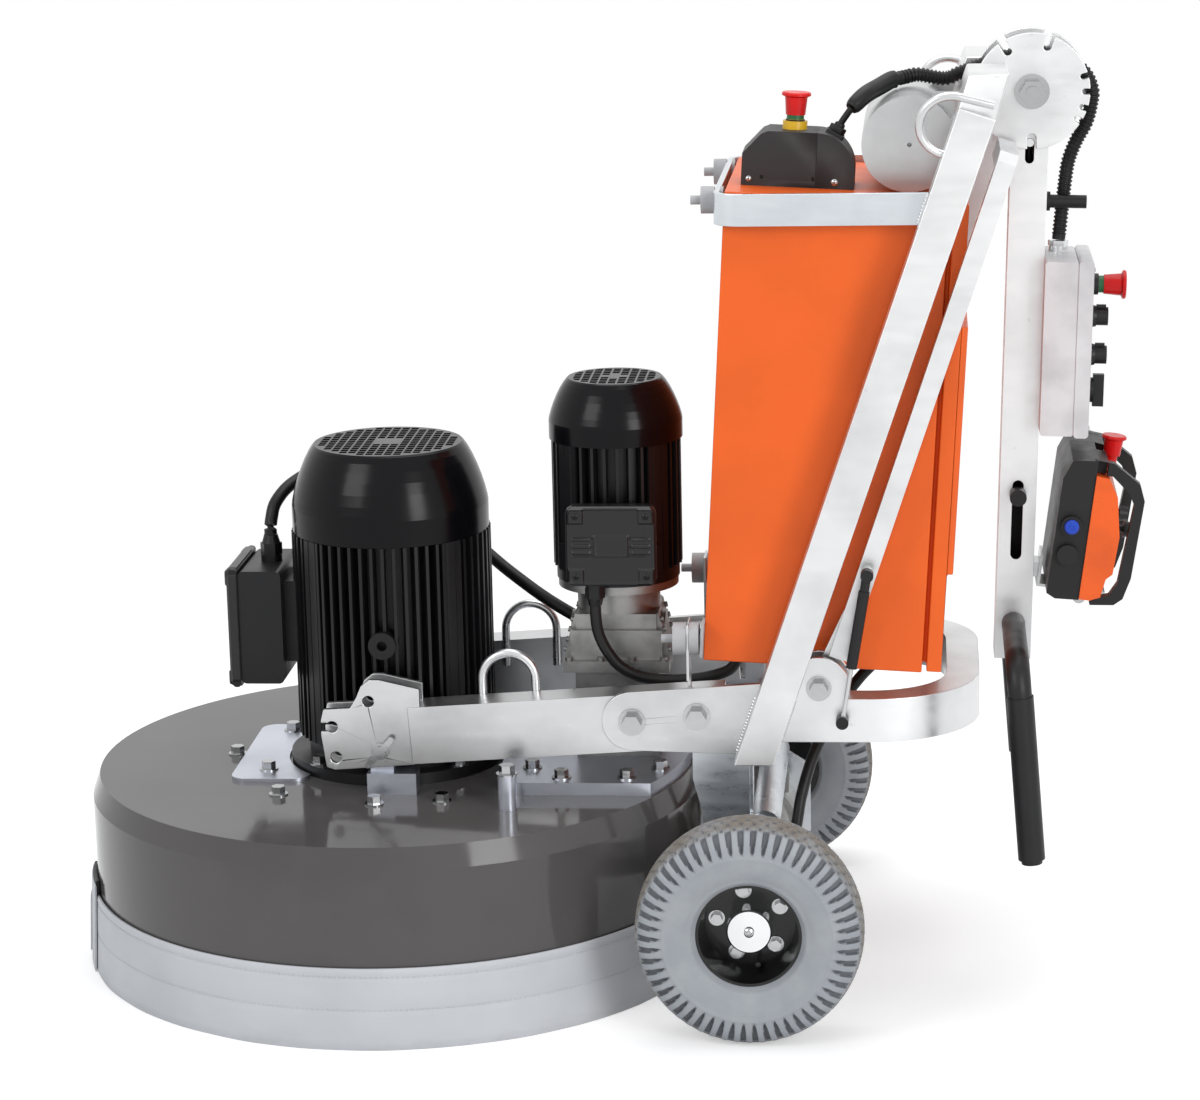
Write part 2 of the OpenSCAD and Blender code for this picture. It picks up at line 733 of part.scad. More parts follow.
module bow_outline(out, x1, r) {
    difference() {
        union() {
            translate([0, -out]) square([x1 - r, 2 * out]);
            translate([x1 - r - 1, -out + r]) square([r + 1, 2 * (out - r)]);
            for (s = [near, far]) translate([x1 - r, s * (out - r)]) circle(r, $fn = 96);
        }
        translate([-1, -out - 1]) square([480, 2 * out + 2]);
    }
}

// Bent rear tube with the ears for the tilt arms
module rear_bow() color("gainsboro") at_head() {
    difference() {
        translate([0, 0, bow_z]) linear_extrude(bow_h) difference() {
            bow_outline(bow_out, bow_x, bow_r);
            bow_outline(bow_in, bow_x - bow_w, bow_r - bow_w);
        }
        translate([0, 0, bow_z + tube_t]) linear_extrude(bow_h - 2 * tube_t) difference() {
            bow_outline(bow_out - tube_t, bow_x - tube_t, bow_r - tube_t);
            bow_outline(bow_in + tube_t, bow_x - bow_w + tube_t, bow_r - bow_w + tube_t);
        }
        leg_cut();
    }
    both() for (y = [bow_in, bow_out - ear_t]) difference() {
        slab(y, y + ear_t) {
            intersection() {
                translate([tilt_x, tilt_z]) circle(ear_r);
                translate([tilt_x - ear_r, bow_top]) square(2 * ear_r);
            }
        }
        along_y(tilt_x, tilt_z, tilt_r + 0.1, y - 1, y + ear_t + 1);
        leg_cut();
    }
}

// Everything in front of the rear faces of the legs
module leg_cut() translate([leg_foot_x, -400, leg_foot_z]) rotate([0, leg_lean, 0])
    translate([leg_w / 2 - 600, 0, -300]) cube([600, 800, 900]);

module hoop_shape(o, x, r)
    round_rect(x, 900, -o, o, r);

module cabinet_hoop() color("gainsboro") at_head() difference() {
    translate([0, 0, hoop_z]) linear_extrude(hoop_h) difference() {
        hoop_shape(hoop_out, hoop_x, hoop_r);
        hoop_shape(hoop_out - hoop_t, hoop_x + hoop_t, hoop_r - hoop_t);
    }
    translate([leg_foot_x, -400, leg_foot_z]) rotate([0, leg_lean, 0])
        translate([-leg_w / 2, 0, 0]) cube([600, 800, 1200]);
    for (s = [near, far]) along_x(hoop_x - 1, hoop_x + 60, s * (mount_y - 52), mount_up_z, 6.2);
}

module index_discs() color("gainsboro") at_head() both() difference() {
    translate([mast_x, disc_out, mast_z]) rotate([90, 0, 0]) linear_extrude(disc_t_plate)
        difference() {
            circle(index_r, $fn = 96);
            for (a = notch_at) rotate(a) {
                deep = (a == -90 || a > 20) ? notch_deep : 11;
                wide = (a == -90) ? notch_w : (a > 20) ? 11 : 8;
                translate([index_r - deep + wide / 2, -wide / 2]) square([60, wide]);
                translate([index_r - deep + wide / 2, 0]) circle(wide / 2);
            }
            circle(pivot_r + 0.1);
        }
}

carrier_top = 338;

// Axle plates with the cross tube between them
module axle_carrier() color("gainsboro") at_head() {
    both() difference() {
        union() {
            slab(carrier_in, carrier_out) {
                polygon([[433, carrier_top], [510, carrier_top], [510, 250], [580, 205], [580, 105],
                    [476, 105], [460, 200], [433, 300]]);
                translate([486, carrier_top - 1]) square([28, 92]);
            }
            span(506, 514, 150, carrier_in, 250, carrier_top);
        }
        along_y(axle_x, axle_z, axle_r + 0.1, carrier_in - 1, carrier_out + 1);
    }
    along_y(530, 232, 20, -carrier_in, carrier_in);
}

module wheel_motors() color("silver") at_head() both() {
    along_y(axle_x, axle_z, drive_r, 96, carrier_in);
    along_y(axle_x, axle_z, drive_r - 8, 20, 96);
    span(axle_x - 30, axle_x + 34, 110, 168, axle_z + drive_r - 8, axle_z + drive_r + 14);
    along_y(axle_x, axle_z, axle_r, carrier_in, wheel_y + axle_end);
    along_y(axle_x, axle_z, 24, carrier_out, wheel_y - tyre_w / 2 - 8);
}

// Bolts of the chassis, the tilt arm bolts, the hitch pins and the mast pivot bolt
module frame_bolts() color("lightgray") at_head() {
    both() {
        for (p = plate_bolt) translate([p[0], plate_out, p[1]]) rotate([-90, 0, 0]) bolt(24);
        for (p = plate_bolt) along_y(p[0], p[1], 8, arm_out + gap, plate_out);
        along_y(tilt_x, tilt_z, tilt_r, bow_in - 6, bow_out);
        translate([tilt_x, bow_out, tilt_z]) rotate([-90, 0, 0]) bolt(22);
        along_y(pin_x, pin_z, pin_r, arm_in - 2, arm_out + 6);
        along_y(pin_x, pin_z, pin_r + 4, arm_out - tube_t, arm_out + 2);
        translate([pin_x, 0, pin_z]) rotate([0, -48, 0]) {
            span(-24, 24, arm_out + 2, arm_out + 7, -4, 4);
            for (x = [-24, 24]) along_y(x, 0, 4, arm_out + 2, arm_out + 7);
        }
        along_y(gas_low[0], gas_low[1], 5, bow_out, gas_y - gas_r);
        translate([mast_x, disc_out, mast_z]) rotate([-90, 0, 0]) bolt(30);
        translate([mast_x, disc_out + 20, mast_z]) rotate([-90, 0, 0]) cylinder(r = pivot_r - 1, h = 8);
        along_y(mast_x, mast_z, pivot_r + 8, mast_y + fit, disc_in);
    }
    along_y(mast_x, mast_z, pivot_r, -disc_out, disc_out);
}

loop_r = 5.5;
loop_z = weight_z + 37.6;
loop_x = leg_x(loop_z) - 28.9;
loop_big = 40;
loop_lean = 14;
loop_y = leg_out - 5;
loop_start = 75;
arm_loop_r = 6;
arm_loop = [178, 425];
arm_loop_big = 37;

// Carrying loops at the leg tops and lifting loops on the arms
module lifting_loops() color("lightgray") at_head() both() {
    difference() {
        union() {
            translate([loop_x, loop_y, loop_z]) rotate([90 - loop_lean, 0, 0]) rotate(loop_start) {
                rotate_extrude(angle = 182) translate([loop_big, 0]) circle(loop_r, $fn = 20);
                translate([loop_big, 0, 0]) rotate([90, 0, 0]) cylinder(r = loop_r, h = 46);
            }
        }
        legs_solid();
    }
    translate([arm_loop[0], arm_in - arm_loop_r, arm_loop[1]]) rotate([90, 0, 0])
        rotate_extrude(angle = 180) translate([arm_loop_big, 0]) circle(arm_loop_r, $fn = 20);
    for (x = [-arm_loop_big, arm_loop_big])
        along_z(arm_loop[0] + x, arm_in - arm_loop_r, arm_loop_r, arm_loop[1] - 55, arm_loop[1]);
}

module legs_solid() difference() {
    leg_block(0);
    translate([leg_foot_x, 0, leg_foot_z]) rotate([0, leg_lean, 0])
        translate([0, leg_out, leg_l - 30 - leg_bend]) rotate([45, 0, 0])
            span(-leg_w, leg_w, 0, 200, -100, 200);
}

lug_y = 96;
lug_t = 10;

// Solid steel counterweight with the lugs that hold it to the legs
module counterweight() color("silver") at_head() difference() {
    union() {
        along_y(weight_x, weight_z, weight_r, -weight_y, weight_y);
        both() slab(lug_y, lug_y + lug_t) polygon([
            [weight_x + 30, weight_z + 40], [weight_x + 30, weight_z + 66],
            [leg_x(weight_z + 66) - leg_half, weight_z + 66],
            [leg_x(weight_z + 46) - leg_half, weight_z + 46], [weight_x + 56, weight_z + 20]]);
    }
    both() along_y(weight_x, weight_z, 3, weight_y - 20, weight_y + 1);
}

// Cabinet

module cabinet_body() color("#f05a1e") at_cabinet() difference() {
    span(0, cab_d, -cab_w / 2, cab_w / 2, 0, cab_h);
    span(cab_t, cab_d - cab_t, -cab_w / 2 + cab_t, cab_w / 2 - cab_t, cab_t, cab_h - cab_t);
    span(cab_d - cab_t - 1, cab_d + 1, -cab_w / 2 + seam, cab_w / 2 - seam, seam, cab_h - seam);
}

hood_z = [137, 472];
seam = 20;
seal = 12;
hood_t = 8;
lip_t = 4;

// Bolted rear panel: a tray with a raised hood, open towards the cabinet
module cabinet_cover() color("#f05a1e") at_cabinet() {
    x1 = cab_d + cover_gap + panel_t;
    difference() {
        union() {
            span(cab_d + cover_gap, x1, -cab_w / 2, cab_w / 2, 2, cab_h - 2);
            span(cab_d, cab_d + cover_gap + 1, -cab_w / 2 + seal, cab_w / 2 - seal, seal, cab_h - seal);
            span(x1 - 1, x1 + hood_t, -cab_w / 2 + 2, cab_w / 2 - 2, hood_z[0], hood_z[1]);
        }
        span(cab_d - 1, x1 - cab_t, -cab_w / 2 + seal + cab_t, cab_w / 2 - seal - cab_t,
            seal + cab_t, cab_h - seal - cab_t);
        span(cab_d, x1 + hood_t - cab_t, -cab_w / 2 + seal + cab_t, cab_w / 2 - seal - cab_t,
            hood_z[0] + cab_t, hood_z[1] - cab_t);
    }
}

// Rubber mounts, in front of and behind each strap, with their studs
module rubber_mounts() color("darkgray") both() {
    at_cabinet() span(-lip_t, 0, cab_w / 2 - 16, mount_y + 18, mount_low[1] - cab_z - 22,
        mount_low[1] - cab_z + 22);
    at_head() mount_pucks();
}

module mount_pucks() {
    low_back = cab_front(mount_low[1] - mount_r) - lip_t - 1;
    up_back = cab_front(mount_up_z);
    y2 = mount_y - 52;
    along_x(strap_x - 18, strap_x, mount_y, mount_low[1], mount_r);
    along_x(strap_x + strap_t, low_back, mount_y, mount_low[1], mount_r);
    along_x(strap_x - 34, cab_front(mount_low[1]) - lip_t / 2, mount_y, mount_low[1], 6);
    along_x(hoop_x - 18, hoop_x, y2, mount_up_z, mount_r - 4);
    along_x(hoop_x + hoop_t, up_back - 2, y2, mount_up_z, mount_r - 4);
    along_x(hoop_x - 32, up_back - 2, y2, mount_up_z, 6);
}

// Cover of the radio receiver: sloped front, round back, two screw holes in its side
module top_pod() color("#3c3d40") at_cabinet() translate([0, 0, cab_h]) difference() {
    slab(pod_near, pod_far) {
        polygon([[pod_x, 0], [pod_x, 42], [pod_x + 24, pod_h - 4], [pod_x + 33, pod_h],
            [pod_c[0], pod_h], [pod_c[0], 0]]);
        translate([pod_c[0] - 1, 0]) square([pod_r + 1, pod_c[1]]);
        intersection() {
            translate(pod_c) circle(pod_r, $fn = 96);
            translate([pod_c[0] - 1, 0]) square(2 * pod_r);
        }
    }
    along_z(stop_x, pod_mid, stop_bore, pod_h - 20, pod_h + 1);
    for (x = [45, 113]) along_y(x, 12, 2.5, pod_near - 1, pod_near + 4);
}

stop_x = 85;
stop_r = 19.6;
stop_h = 30;
stop_drop = 6;
stop_bore = 8.2;
collar_h = 11;
neck_h = 8;
neck_r = stop_r * 0.6 - 0.3;
neck_in = 2;

// Neck that the red button slides over, with the bore for its stem
module neck(h) cylinder(r = neck_r, h = h + neck_in);

module estop_collar() color("#f0b400") at_cabinet() translate([stop_x, pod_mid, cab_h + pod_h])
    difference() {
        union() {
            cylinder(r = 16.5, h = collar_h);
            translate([0, 0, collar_h - 1]) neck(neck_h + 1);
        }
        translate([0, 0, -2]) cylinder(r = stop_bore, h = 40);
    }

// Stop button along Z: stem below, hollow tapered body, flared head
module mushroom(r, h, stem, low) {
    skirt = neck_in + stop_drop + 1;
    translate([0, 0, -low]) cylinder(r = stem, h = low + skirt + 1);
    rotate_extrude() polygon([[0, skirt], [r * 0.6, skirt], [r * 0.6, 0], [r * 0.67, 0],
        [r * 0.77, h * 0.77], [r, h * 0.85], [r, h - 1.5], [r * 0.92, h], [0, h]]);
}

module estop_top() color("#c81e1e") at_cabinet()
    translate([stop_x, pod_mid, cab_h + pod_h + collar_h + neck_h])
        mushroom(stop_r, stop_h, stop_bore - 0.6, collar_h + neck_h + 12);

lead = [[141.9, -75, 75], [147, -75.3, 85], [152.5, -76, 94], [159, -77, 104]];
sleeve = [[158.5, -77, 103.5], [175.6, -60, 120], [195, -27, 129.7]];
drive_lead = [[690, -30, 451.6], [690, -30, 446], [690, -30, 440], [680, -32, 424], [656, -40, 400],
    [624, -60, 360], [594, -92, 305], [578, -118, 255], [572, -131, 222], [568, -135, 205], [561, -135, 200],
    [556, -135, 200], [axle_x + 34.2, -135, 200]];

// Lead and rubber sleeve from the pod, and the cable down to the wheel motors
module chassis_cables() color("#141414") {
    end = cord_dir(curve(conduit, 2 * rib_steps), 0);
    at_head() {
        cord(curve(drive_lead, 3), 8);
        cord(concat(curve(concat([for (p = sleeve) on_cabinet(p + [0, 0, cab_h])],
            [conduit[0] - 7 * end]), 3), [conduit[0] - 4 * fit * end]), 12);
    }
    at_cabinet() translate([0, 0, cab_h]) {
        cord(lead, 4.5);
        translate([pod_c[0], pod_mid, pod_c[1]]) rotate([0, 25.6, 0]) {
            difference() {
                span(-13, 13, -14, 14, pod_r - 3, pod_r + 4);
                along_y(0, 0, pod_r + fit, -15, 15);
            }
            translate([0, 0, pod_r + 4]) hex(20, 9);
            along_z(0, 0, 7, pod_r + 13, pod_r + 17);
        }
    }
}

function at_pivot(x, y, z) = [mast_x + x, y, mast_z + z];
conduit = [
    on_cabinet([213.8, -4.8, cab_h + 137.4]), at_pivot(-167.2, 5.8, 16.4),
    at_pivot(-150, 12, 18.5), at_pivot(-115, 14, 13), at_pivot(-92, 15, 21),
    at_pivot(-39, 15, 39), at_pivot(0, 15, 46), at_pivot(36, 15, 40),
    at_pivot(69, 15, 21), at_pivot(82, 18, -4), at_pivot(81, 21, -25), at_pivot(75, 25, -50),
    at_pivot(62, 28, -75), at_pivot(52, 30, -102), at_pivot(47, 30, -136),
    at_pivot(41.7, 30, -188), at_pivot(39.7, 30, -208.9)];
conduit_r = 10;
conduit_bore = 6;
rib_deep = 1.8;
rib_steps = 8;

// Corrugated conduit: the radius goes up and down along the route, round a plain bore
module cable_conduit() color("#111111") at_head() {
    n = 8;
    p = curve(conduit, 2 * rib_steps);
    q = curve(conduit, 4);
    outer = [for (i = [0 : len(p) - 1])
        cord_ring(p[i], cord_dir(p, i), conduit_r - ((i % 4 < 2) ? 0 : rib_deep), n)];
    inner = [for (i = [0 : len(q) - 1]) cord_ring(q[i], cord_dir(q, i), conduit_bore, n)];
    a = len(p) - 1;
    b = len(p) * n;
    c = b + (len(q) - 1) * n;
    polyhedron(
        points = concat([for (r = outer) each r], [for (r = inner) each r]),
        faces = [for (k = [0 : n - 1]) let (l = (k + 1) % n) each concat(
            [for (i = [0 : a - 1]) [i * n + k, (i + 1) * n + k, (i + 1) * n + l, i * n + l]],
            [for (i = [0 : len(q) - 2])
                [b + i * n + k, b + i * n + l, b + (i + 1) * n + l, b + (i + 1) * n + k]],
            [[k, l, b + l, b + k], [a * n + k, c + k, c + l, a * n + l]])]);
}

// Tilt arms and gas springs

function tilt_line(z) = tilt_foot[0] + (z - tilt_foot[1]) * tan(tilt_lean);

module tilt_arms() color("gainsboro") at_head() both() difference() {
    union() {
        translate([tilt_foot[0], 0, tilt_foot[1]]) rotate([0, tilt_lean, 0])
            span(-tilt_w / 2, tilt_w / 2, tilt_in, tilt_out, 0,
                tilt_l);
        translate([tilt_line(tilt_top), 0, tilt_top]) rotate([0, tilt_lean, 0])
            span(-tilt_w / 2, tilt_w / 2, tilt_end, tilt_out, -tilt_w, 0);
        slab(tilt_in + 6, tilt_in + 16) {
            translate([tilt_x, tilt_z]) circle(13);
            polygon([[tilt_x - 12, tilt_z + 4], [tilt_x + 8, tilt_z - 10],
                [tilt_line(540) + 12, 536], [tilt_line(540) - 12, 544]]);
        }
        along_y(gas_up[0], gas_up[1], 5, tilt_out - 2, gas_y - gas_r - 3);
    }
    along_y(tilt_x, tilt_z, tilt_r + fit, tilt_in, tilt_out);
    translate([tilt_foot[0], 0, tilt_foot[1]]) rotate([0, tilt_lean, 0])
        span(-tilt_w / 2 + 3, tilt_w / 2 - 3, tilt_in + 3, tilt_out - 3, 74, tilt_l - 48);
    translate([tilt_line(tilt_top), tilt_out, tilt_top]) rotate([0, tilt_lean, 0])
        rotate([45, 0, 0]) span(-tilt_w, tilt_w, -9, 40, -60, 60);
}

cup_r = 8.5;

module gas_rods() color("silver") at_head() both() {
    along_y(gas_low[0], gas_low[1], cup_r, gas_y - gas_r, gas_y + gas_r);
    at_gas() along_z(0, gas_y, rod_r, cup_r - 1, rod_top);
}

module gas_cylinders() color("#161616") at_head() both() at_gas() difference() {
    union() {
        along_z(0, gas_y, gas_r, tube_low, tube_high);
        along_z(0, gas_y, gas_r - 1.5, tube_high - 1, gas_len - 4);
        along_y(0, gas_len, cup_r, gas_y - gas_r, gas_y + gas_r);
    }
    along_z(0, gas_y, rod_r + fit, tube_low - 1, tube_high - 4);
}

// Wheels

module at_wheel(s) at_head() translate([axle_x, s * wheel_y, axle_z]) rotate([s * -90, 0, 0])
    children();

// Tyre outline: rounded crown, bulged walls, beads on the rim
module tyre(s) color("slategray") at_wheel(s) rotate_extrude($fn = 96) {
    w = tyre_w / 2;
    polygon([[rim_r + 0.2, -w * 0.62], [rim_r + 14, -w * 0.8], [rim_r + 32, -w * 0.97],
        [tyre_r - 34, -w], [tyre_r - 18, -w * 0.95], [tyre_r - 7, -w * 0.82],
        [tyre_r - 1.5, -w * 0.5], [tyre_r, 0], [tyre_r - 1.5, w * 0.5], [tyre_r - 7, w * 0.82],
        [tyre_r - 18, w * 0.95], [tyre_r - 34, w], [rim_r + 32, w * 0.97],
        [rim_r + 14, w * 0.8], [rim_r + 0.2, w * 0.62]]);
}

// Deep pressed rim with its hub tube, closed hub cap and five wheel bolts
module rim(s) color("#1a1a1a") at_wheel(s) {
    rotate_extrude($fn = 96) polygon([
        [axle_r + fit, rim_back], [rim_r, rim_back], [rim_r, rim_front], [rim_r - rim_t, rim_front],
        [rim_r - 10, dish + 8], [rim_r - 10, dish], [hub_r, dish], [hub_r, hub_end - 2],
        [hub_r - 2, hub_end], [0, hub_end], [0, axle_end + gap], [axle_r + fit, axle_end + gap]]);
    for (k = [0 : 4]) rotate(rim_turn + k * 72) translate([rim_bolts, 0, dish]) bolt(14);
    translate([0, 0, hub_end]) hex(8, 3);
    rotate(rim_turn + 252) translate([rim_r - 17, 0, dish]) cylinder(r = 3.5, h = 24);
}

module tyre_left() tyre(near);
module tyre_right() tyre(far);
module rim_left() rim(near);
module rim_right() rim(far);

// Mast

slot_low = [-636, -540];
slot_up = [lock_z - 22, lock_z];
slot_w = 2 * lock_r + 1;

module slot(z, w, y0, y1) {
    span(-w / 2, w / 2, y0, y1, z[0], z[1]);
    for (k = z) along_y(0, k, w / 2, y0, y1);
}

module mast_tube() color("gainsboro") at_mast() difference() {
    span(-mast_half, mast_half, -mast_y, mast_y, -mast_l, mast_up);
    span(-mast_half + tube_t, mast_half - tube_t, -mast_y + tube_t, mast_y - tube_t,
        -mast_l + 8, mast_up - tube_t);
    slot(slot_up, slot_w, -mast_y - 1, mast_y + 1);
    slot(slot_low, 15, -mast_y - 1, 0);
    along_y(0, 0, pivot_r + fit, -mast_y - 1, mast_y + 1);
    along_y(0, bar_z, bar_r + 0.1, -mast_y - 1, mast_y + 1);
}

// Lock pin, pull rod and knob; the pin stops short of the index discs
module lock_slider() color("#202020") at_mast() {
    along_y(0, lock_z, lock_r, -mast_y, mast_y);
    along_z(0, 0, 5, knob_z, lock_z);
    along_y(0, knob_z, 7, -mast_y - 8, 4);
    along_y(0, knob_z, 11.5, -mast_y - 26, -mast_y - 2);
}

bar_run = grip_y - bend_r;

// Handle tube through the mast, bent down into two rubber grips
module handle_bar() color("#151515") at_mast() translate([0, 0, bar_z]) rotate([0, -grip_turn, 0]) {
    along_y(0, 0, bar_r, -bar_run, bar_run);
    both() {
        translate([0, bar_run, -bend_r]) rotate([0, -90, 0]) rotate_extrude(angle = 90)
            translate([bend_r, 0]) circle(bar_r, $fn = 32);
        along_z(0, grip_y, grip_r, -grip_low, -bend_r);
        along_z(0, grip_y, grip_r - 4, -grip_low - 6, -grip_low);
    }
}

module control_box() color("whitesmoke") at_mast() {
    slab(-ctl_y, ctl_y) round_rect(ctl_x, ctl_out - ctl_lid, ctl_low, ctl_top, 4);
    translate([ctl_x + 20, 30, ctl_top]) { cylinder(r = 13, h = 8);
        translate([0, 0, 8]) hex(24, 7); }
}

module control_box_lid() color("white") at_mast() difference() {
    union() {
        slab(-ctl_y - 2, ctl_y + 2) round_rect(ctl_out - ctl_lid, ctl_out, ctl_low - 2, ctl_top + 2, 5);
        translate([ctl_out - 1, 0, estop_z]) rotate([0, 90, 0]) neck(box_neck + 1);
    }
    for (z = [estop_z, dial_z[0], dial_z[1], dial_z[2]])
        along_x(ctl_out - ctl_lid + 2, ctl_out + box_neck + 20, 0, z, stop_bore);
}

module estop_box() color("#c81e1e") at_mast() translate([ctl_out + box_neck, 0, estop_z])
    rotate([0, 90, 0]) mushroom(stop_r, stop_h, stop_bore - 0.6, box_neck + ctl_lid - stop_drop - 3);

module dial(z) color("#1c1c1c") at_mast() translate([ctl_out + gap, 0, z]) rotate([0, 90, 0]) {
    translate([0, 0, -14]) cylinder(r = 8, h = 16);
    cylinder(r1 = 16, r2 = 14, h = 8);
    translate([0, 0, 8]) cylinder(r = 12.5, h = 16);
    span(-16, 0, -3, 3, 8, 21);
}

module speed_knob_1() dial(dial_z[0]);
module speed_knob_2() dial(dial_z[1]);

module main_switch() color("#1c1c1c") at_mast() translate([ctl_out + gap, 0, dial_z[2]])
    rotate([0, 90, 0]) {
        translate([0, 0, -14]) cylinder(r = 8, h = 16);
        cylinder(r = 17, h = 8);
        span(-22, 22, -6, 6, 7, 22);
    }

module cable_peg() color("#1a1a1a") at_mast() {
    along_x(mast_half, peg_end, 6, peg_z, peg_r);
    along_x(mast_half, mast_half + 6, 6, peg_z, peg_r + 4);
}

// Remote control and its cradle

clip_r = 9;

module remote_cradle() color("lightgray") {
    at_remote() {
        span(-6, 84, -30, 30, -4, 0);
        span(-10, -6, -30, 30, -4, 40);
        both() along_y(50, -4 - clip_r + 1, clip_r, 12, 30);
    }
    at_mast() span(mast_half, remote_x - 6, -20, 20, remote_low + 8, remote_low + 28);
}

remote_h = remote_top - remote_low;
stick_floor = 70;
stick_x = 76;

module remote_back() color("#1f2022") at_remote() {
    slab(-remote_y, remote_y) polygon([[0, 6], [0, remote_h - 26], [10, remote_h], [44, remote_h + 4],
        [44, 2], [12, 0]]);
    for (z = [64, 104]) along_y(20, z, 14, -remote_y - 10, -remote_y);
    both() slab(24, remote_y - 20) polygon([[43, remote_h - 15.5], [43, remote_h + 4],
        [58, remote_h + 2], [58, remote_h - 15.5]]);
}

module remote_shell() color("#f05a1e") at_remote() difference() {
    slab(-remote_y - 4, remote_y + 4) polygon([[44, 4], [44, remote_h - 16], [62, remote_h - 18],
        [76, remote_h - 42], [86, remote_h / 2], [84, 44], [76, 36], [72, 10], [58, 4]]);
    for (y = [-50, 50]) along_x(stick_floor, 100, y, remote_h / 2, 12.2);
    along_z(68, 0, 8.2, remote_h - 50, remote_h);
}

module remote_guard() color("#26272a") at_remote() both() difference() {
    slab(remote_y - 22, remote_y - 4) polygon([[40, remote_h + 4.5], [66, remote_h + 2],
        [104, remote_h - 22], [113, remote_h - 44], [110, 40], [103, 10], [92, 0], [60, -4],
        [58, 3.5], [84, 12], [93, 30], [100, remote_h - 52], [91, remote_h - 36],
        [66, remote_h - 15.5], [58.5, remote_h - 15.5], [58.5, remote_h + 2.5]]);
}

module estop_remote() color("#c81e1e") at_remote() translate([68, 0, remote_h - 12 + stop_drop])
    mushroom(17, 28, 8, 22);

module joystick(y) color("#18191a") at_remote() translate([stick_x, y, remote_h / 2])
    rotate([0, 90, 0]) {
        sphere(stick_x - stick_floor);
        cylinder(r = 5, h = 20);
        translate([0, 0, 18]) cylinder(r1 = 12, r2 = 9, h = 12);
    }

module joystick_1() joystick(-50);
module joystick_2() joystick(50);

head_cover();
dust_skirt();
deck_plates();
head_bolts();
main_motor_frame();
main_fan_cover();
main_rotor();
planet_drum();
grinding_disc_1();
grinding_disc_2();
grinding_disc_3();
planet_pinion();
planet_gearbox();
planet_motor_frame();
planet_fan_cover();
terminal_boxes();
motor_cables();
front_arms();
side_plates();
legs();
rear_bow();
cabinet_hoop();
index_discs();
axle_carrier();
wheel_motors();
frame_bolts();
lifting_loops();
counterweight();
cabinet_body();
cabinet_cover();
rubber_mounts();
top_pod();
estop_collar();
estop_top();
chassis_cables();
cable_conduit();
tilt_arms();
gas_rods();
gas_cylinders();
tyre_left();
rim_left();
tyre_right();
rim_right();
mast_tube();
lock_slider();
handle_bar();
control_box();
control_box_lid();
estop_box();
speed_knob_1();
speed_knob_2();
main_switch();
cable_peg();
remote_cradle();
remote_back();
remote_shell();
remote_guard();
estop_remote();
joystick_1();
joystick_2();
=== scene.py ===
"""Looks of the floor grinder: finishes, light, camera and the fine pieces that the CAD frame leaves out."""
import math

import bmesh
import bpy
import numpy as np
from mathutils import Matrix, Vector

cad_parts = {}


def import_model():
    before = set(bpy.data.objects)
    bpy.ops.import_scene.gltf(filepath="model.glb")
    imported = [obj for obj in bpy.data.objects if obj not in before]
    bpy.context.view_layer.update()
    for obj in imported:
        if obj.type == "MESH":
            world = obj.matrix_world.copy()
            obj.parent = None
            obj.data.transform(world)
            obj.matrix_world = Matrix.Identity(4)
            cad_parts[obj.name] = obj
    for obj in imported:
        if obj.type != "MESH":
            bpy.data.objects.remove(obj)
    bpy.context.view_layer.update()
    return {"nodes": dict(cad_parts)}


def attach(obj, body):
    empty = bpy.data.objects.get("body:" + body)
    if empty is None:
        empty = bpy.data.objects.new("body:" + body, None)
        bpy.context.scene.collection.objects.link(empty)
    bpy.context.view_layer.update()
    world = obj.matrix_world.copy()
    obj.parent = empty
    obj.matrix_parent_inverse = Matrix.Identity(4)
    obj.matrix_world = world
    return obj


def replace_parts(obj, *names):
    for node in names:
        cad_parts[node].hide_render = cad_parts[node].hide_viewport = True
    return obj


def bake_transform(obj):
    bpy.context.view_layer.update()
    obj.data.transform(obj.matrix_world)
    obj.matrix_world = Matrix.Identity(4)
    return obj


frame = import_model()
N = frame["nodes"]
HX = -0.297  # the head's axis in the row frame
MM = 0.001
scene = bpy.context.scene


# Finishes

